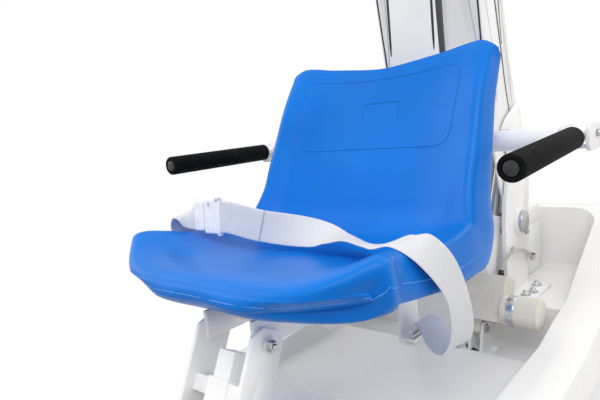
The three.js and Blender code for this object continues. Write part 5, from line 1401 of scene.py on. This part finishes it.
for node in WHEELS:
    fork = node.replace("wheel", "fork")
    fork_low, fork_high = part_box(fork)
    middle = sum(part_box(node), Vector()) / 2
    ends = ((1, fork_high.x), (-1, fork_low.x))
    spots = [(Vector((x, middle.y, middle.z)), (way, 0, 0)) for way, x in ends]
    fasten(f"axle_nuts_{node}", "bolt_6", spots, fork)
fastened = sum("nuts" in piece.name or "bolts" in piece.name for piece in bpy.data.objects)
print("fastener meshes", fastened)

# %% [markdown]
# Trims: a dark vinyl band down each side of the hanging column, a black strip of painted shadow in the gap
# where its front plate meets its sides, thin joint and coach lines on the arm, and a black strip of painted
# gap shadow along each side of the arm. Each is a strip a third of a millimetre thick that lies on its
# face, given by points on that face and a width at each.

# %% Trims
ARM_PIVOT, arm_lean = (276, 383), math.radians(7.85)


def on_arm(x, along, back):
    """A machine place from the arm's own directions: along it from its pivot, and back from it."""
    y = ARM_PIVOT[0] - along * math.sin(arm_lean) + back * math.cos(arm_lean)
    return (x, y, ARM_PIVOT[1] + along * math.cos(arm_lean) + back * math.sin(arm_lean))


STRIP_MM = 0.35
STRIP_PROFILE = ((-0.5, -0.1), (-0.5, 0.6 * STRIP_MM), (-0.46, STRIP_MM))
STRIP_PROFILE += tuple((-across, lift) for across, lift in STRIP_PROFILE[::-1])


def trim(name, line, widths, wide_way, lift_way, look, node):
    """A thin strip over points in machine millimetres, as wide as given at each, lifted off its face."""
    line = spline(line, 6)
    stations = np.linspace(0, len(widths) - 1, len(line))
    wide = np.interp(stations, range(len(widths)), widths)
    wide_way, lift_way = (np.array(way, float) / np.linalg.norm(way) for way in (wide_way, lift_way))
    rows = [
        [
            np.array(at(*(point + wide_way * across * width + lift_way * lift)))
            for across, lift in STRIP_PROFILE
        ]
        for point, width in zip(line, wide)
    ]
    first, last = ([(row[0] + row[-1]) * 0.5] * len(STRIP_PROFILE) for row in (rows[0], rows[-1]))
    mesh = cleaned(grid_mesh(name, [first, *rows, last], True), 0.001)
    smooth(mesh, 40)
    settle(linked(name, mesh, look), node)


ARM_FRONT, ARM_SIDE, COLUMN_SIDE, COLUMN_FRONT, GAP_SHADOW_X = -62, 112, 50, 85, 46.6
ARM_BACKWARD = (0, math.cos(arm_lean), math.sin(arm_lean))
ARM_FORWARD = (0, -math.cos(arm_lean), -math.sin(arm_lean))
BAND = [(113, 722), (112.5, 736), (107.7, 840), (107.7, 1000), (107.7, 1560)]
BAND_WIDTHS, GAP_SHADOW_WIDTHS = (25, 25, 28.5, 28.5, 28.5), (2, 4.6, 5, 5, 5)
GAP_SHADOW_HEIGHTS = (748, 768, 800, 900, 1580)
FRONT_LINES = {
    "arm_front_joint": ([(101, 345), (97.1, 391.6), (90.8, 465.1), (88, 600), (88, 1240)], 1.6, grey_seam),
    "arm_front_line": (
        [(106, 350), (106.4, 391.9), (107.6, 461.2), (107.6, 700), (107.6, 1240)],
        3.6,
        navy_trim,
    ),
}
SIDE_LINES = {
    "arm_side_joint": (
        [(262, -26), (385.6, -24), (459.7, -34.8), (700, -38), (1240, -38)],
        [1.8] * 5,
        grey_seam,
    ),
    # A black strip of painted shadow in the gap along the arm's side.
    "arm_side_seal": (
        [(205, 40), (292.5, 25.7), (360, 20.6), (457.9, 11.9), (700, 6), (1240, 6)],
        [4.2, 4.6, 5.2, 6.2, 6.2, 6.2],
        gap_shadow_look,
    ),
    "arm_side_line": ([(372, 26.6), (457.2, 29.9), (700, 31), (1240, 31)], [2.4, 4.4, 4.4, 4.4], navy_trim),
    "arm_side_thin_line": (
        [(210, 60), (300, 52), (372, 45), (457.2, 43), (1240, 43)],
        [1.3] * 5,
        grey_seam,
    ),
}
for side, label in ((1, "left"), (-1, "right")):
    outward = (side, 0, 0)
    band = [(side * COLUMN_SIDE, y, z) for y, z in BAND]
    gap_shadow = [(side * GAP_SHADOW_X, COLUMN_FRONT, z) for z in GAP_SHADOW_HEIGHTS]
    for name, line, widths, wide_way, lift_way, look in [
        ("column_band", band, BAND_WIDTHS, (0, 1, 0), outward, navy_trim),
        # A black strip of painted shadow in the gap between the column's front plate and its side.
        ("column_seal", gap_shadow, GAP_SHADOW_WIDTHS, (1, 0, 0), (0, -1, 0), gap_shadow_look),
    ]:
        trim(f"{name}_{label}", line, widths, wide_way, lift_way, look, "hanger_column")
    for name, (points, width, look) in FRONT_LINES.items():
        line = [on_arm(side * x, along, ARM_FRONT) for x, along in points]
        trim(f"{name}_{label}", line, [width] * len(line), (1, 0, 0), ARM_FORWARD, look, "lift_arm")
    for name, (points, widths, look) in SIDE_LINES.items():
        line = [on_arm(side * ARM_SIDE, *point) for point in points]
        trim(f"{name}_{label}", line, widths, ARM_BACKWARD, outward, look, "lift_arm")

# %% [markdown]
# Two short cables: one from the motor down through the floor's slot, and one from the gearbox back to
# the control box. Both leave the object's own housings and go back into it, so they are short and taut
# between their glands.

# %% Cables
MOTOR_CABLE = [(30, 128, 143.4), (30, 128, 156), (32, 130, 174), (38, 138, 198)]
MOTOR_CABLE += [(46, 145, 211), (52, 147, 214), (57.5, 147, 214)]
ACTUATOR_CABLE = [(118, 177.6, 290), (119, 180, 300), (124, 188, 318), (132, 206, 332)]
ACTUATOR_CABLE += [(134, 240, 330), (133, 280, 318), (130, 320, 300), (124, 350, 282)]
ACTUATOR_CABLE += [(118, 372, 276), (117, 392, 276), (111, 398, 276), (105.4, 398, 276)]
CABLE_R = 3.5
GLAND = [(CABLE_R + 0.05, 0), (6.2, 0), (6.6, 0.5), (6.6, 3.6), (6.0, 4.2), (5.2, 4.6), (5.0, 9)]
GLAND += [(4.2, 10.5), (CABLE_R + 0.05, 10.8), (CABLE_R + 0.05, 0)]
for node, route in (("motor_cable", MOTOR_CABLE), ("actuator_cable", ACTUATOR_CABLE)):
    path = [at(*point) for point in spline(route, 8)]
    length = sum((b - a).length for a, b in zip(path, path[1:]))
    cable = linked(node + "_sheath", tube_mesh(node + "_sheath", path, CABLE_R, 18), cable_sheath)
    settle(cable, node, stands_for=(node,))
    for k, (end, inner) in enumerate(((path[0], path[2]), (path[-1], path[-3]))):
        gland = turned(f"{node}_gland_{k}", GLAND, end, inner - end, black_plastic, 32)
        settle(gland, node)
    print(node, round(length, 3), "m")

# %% [markdown]
# The box round the solids, measured before any dressing, is unpacked into its low and high corners.

# %% Sizes
low, high = cad_box
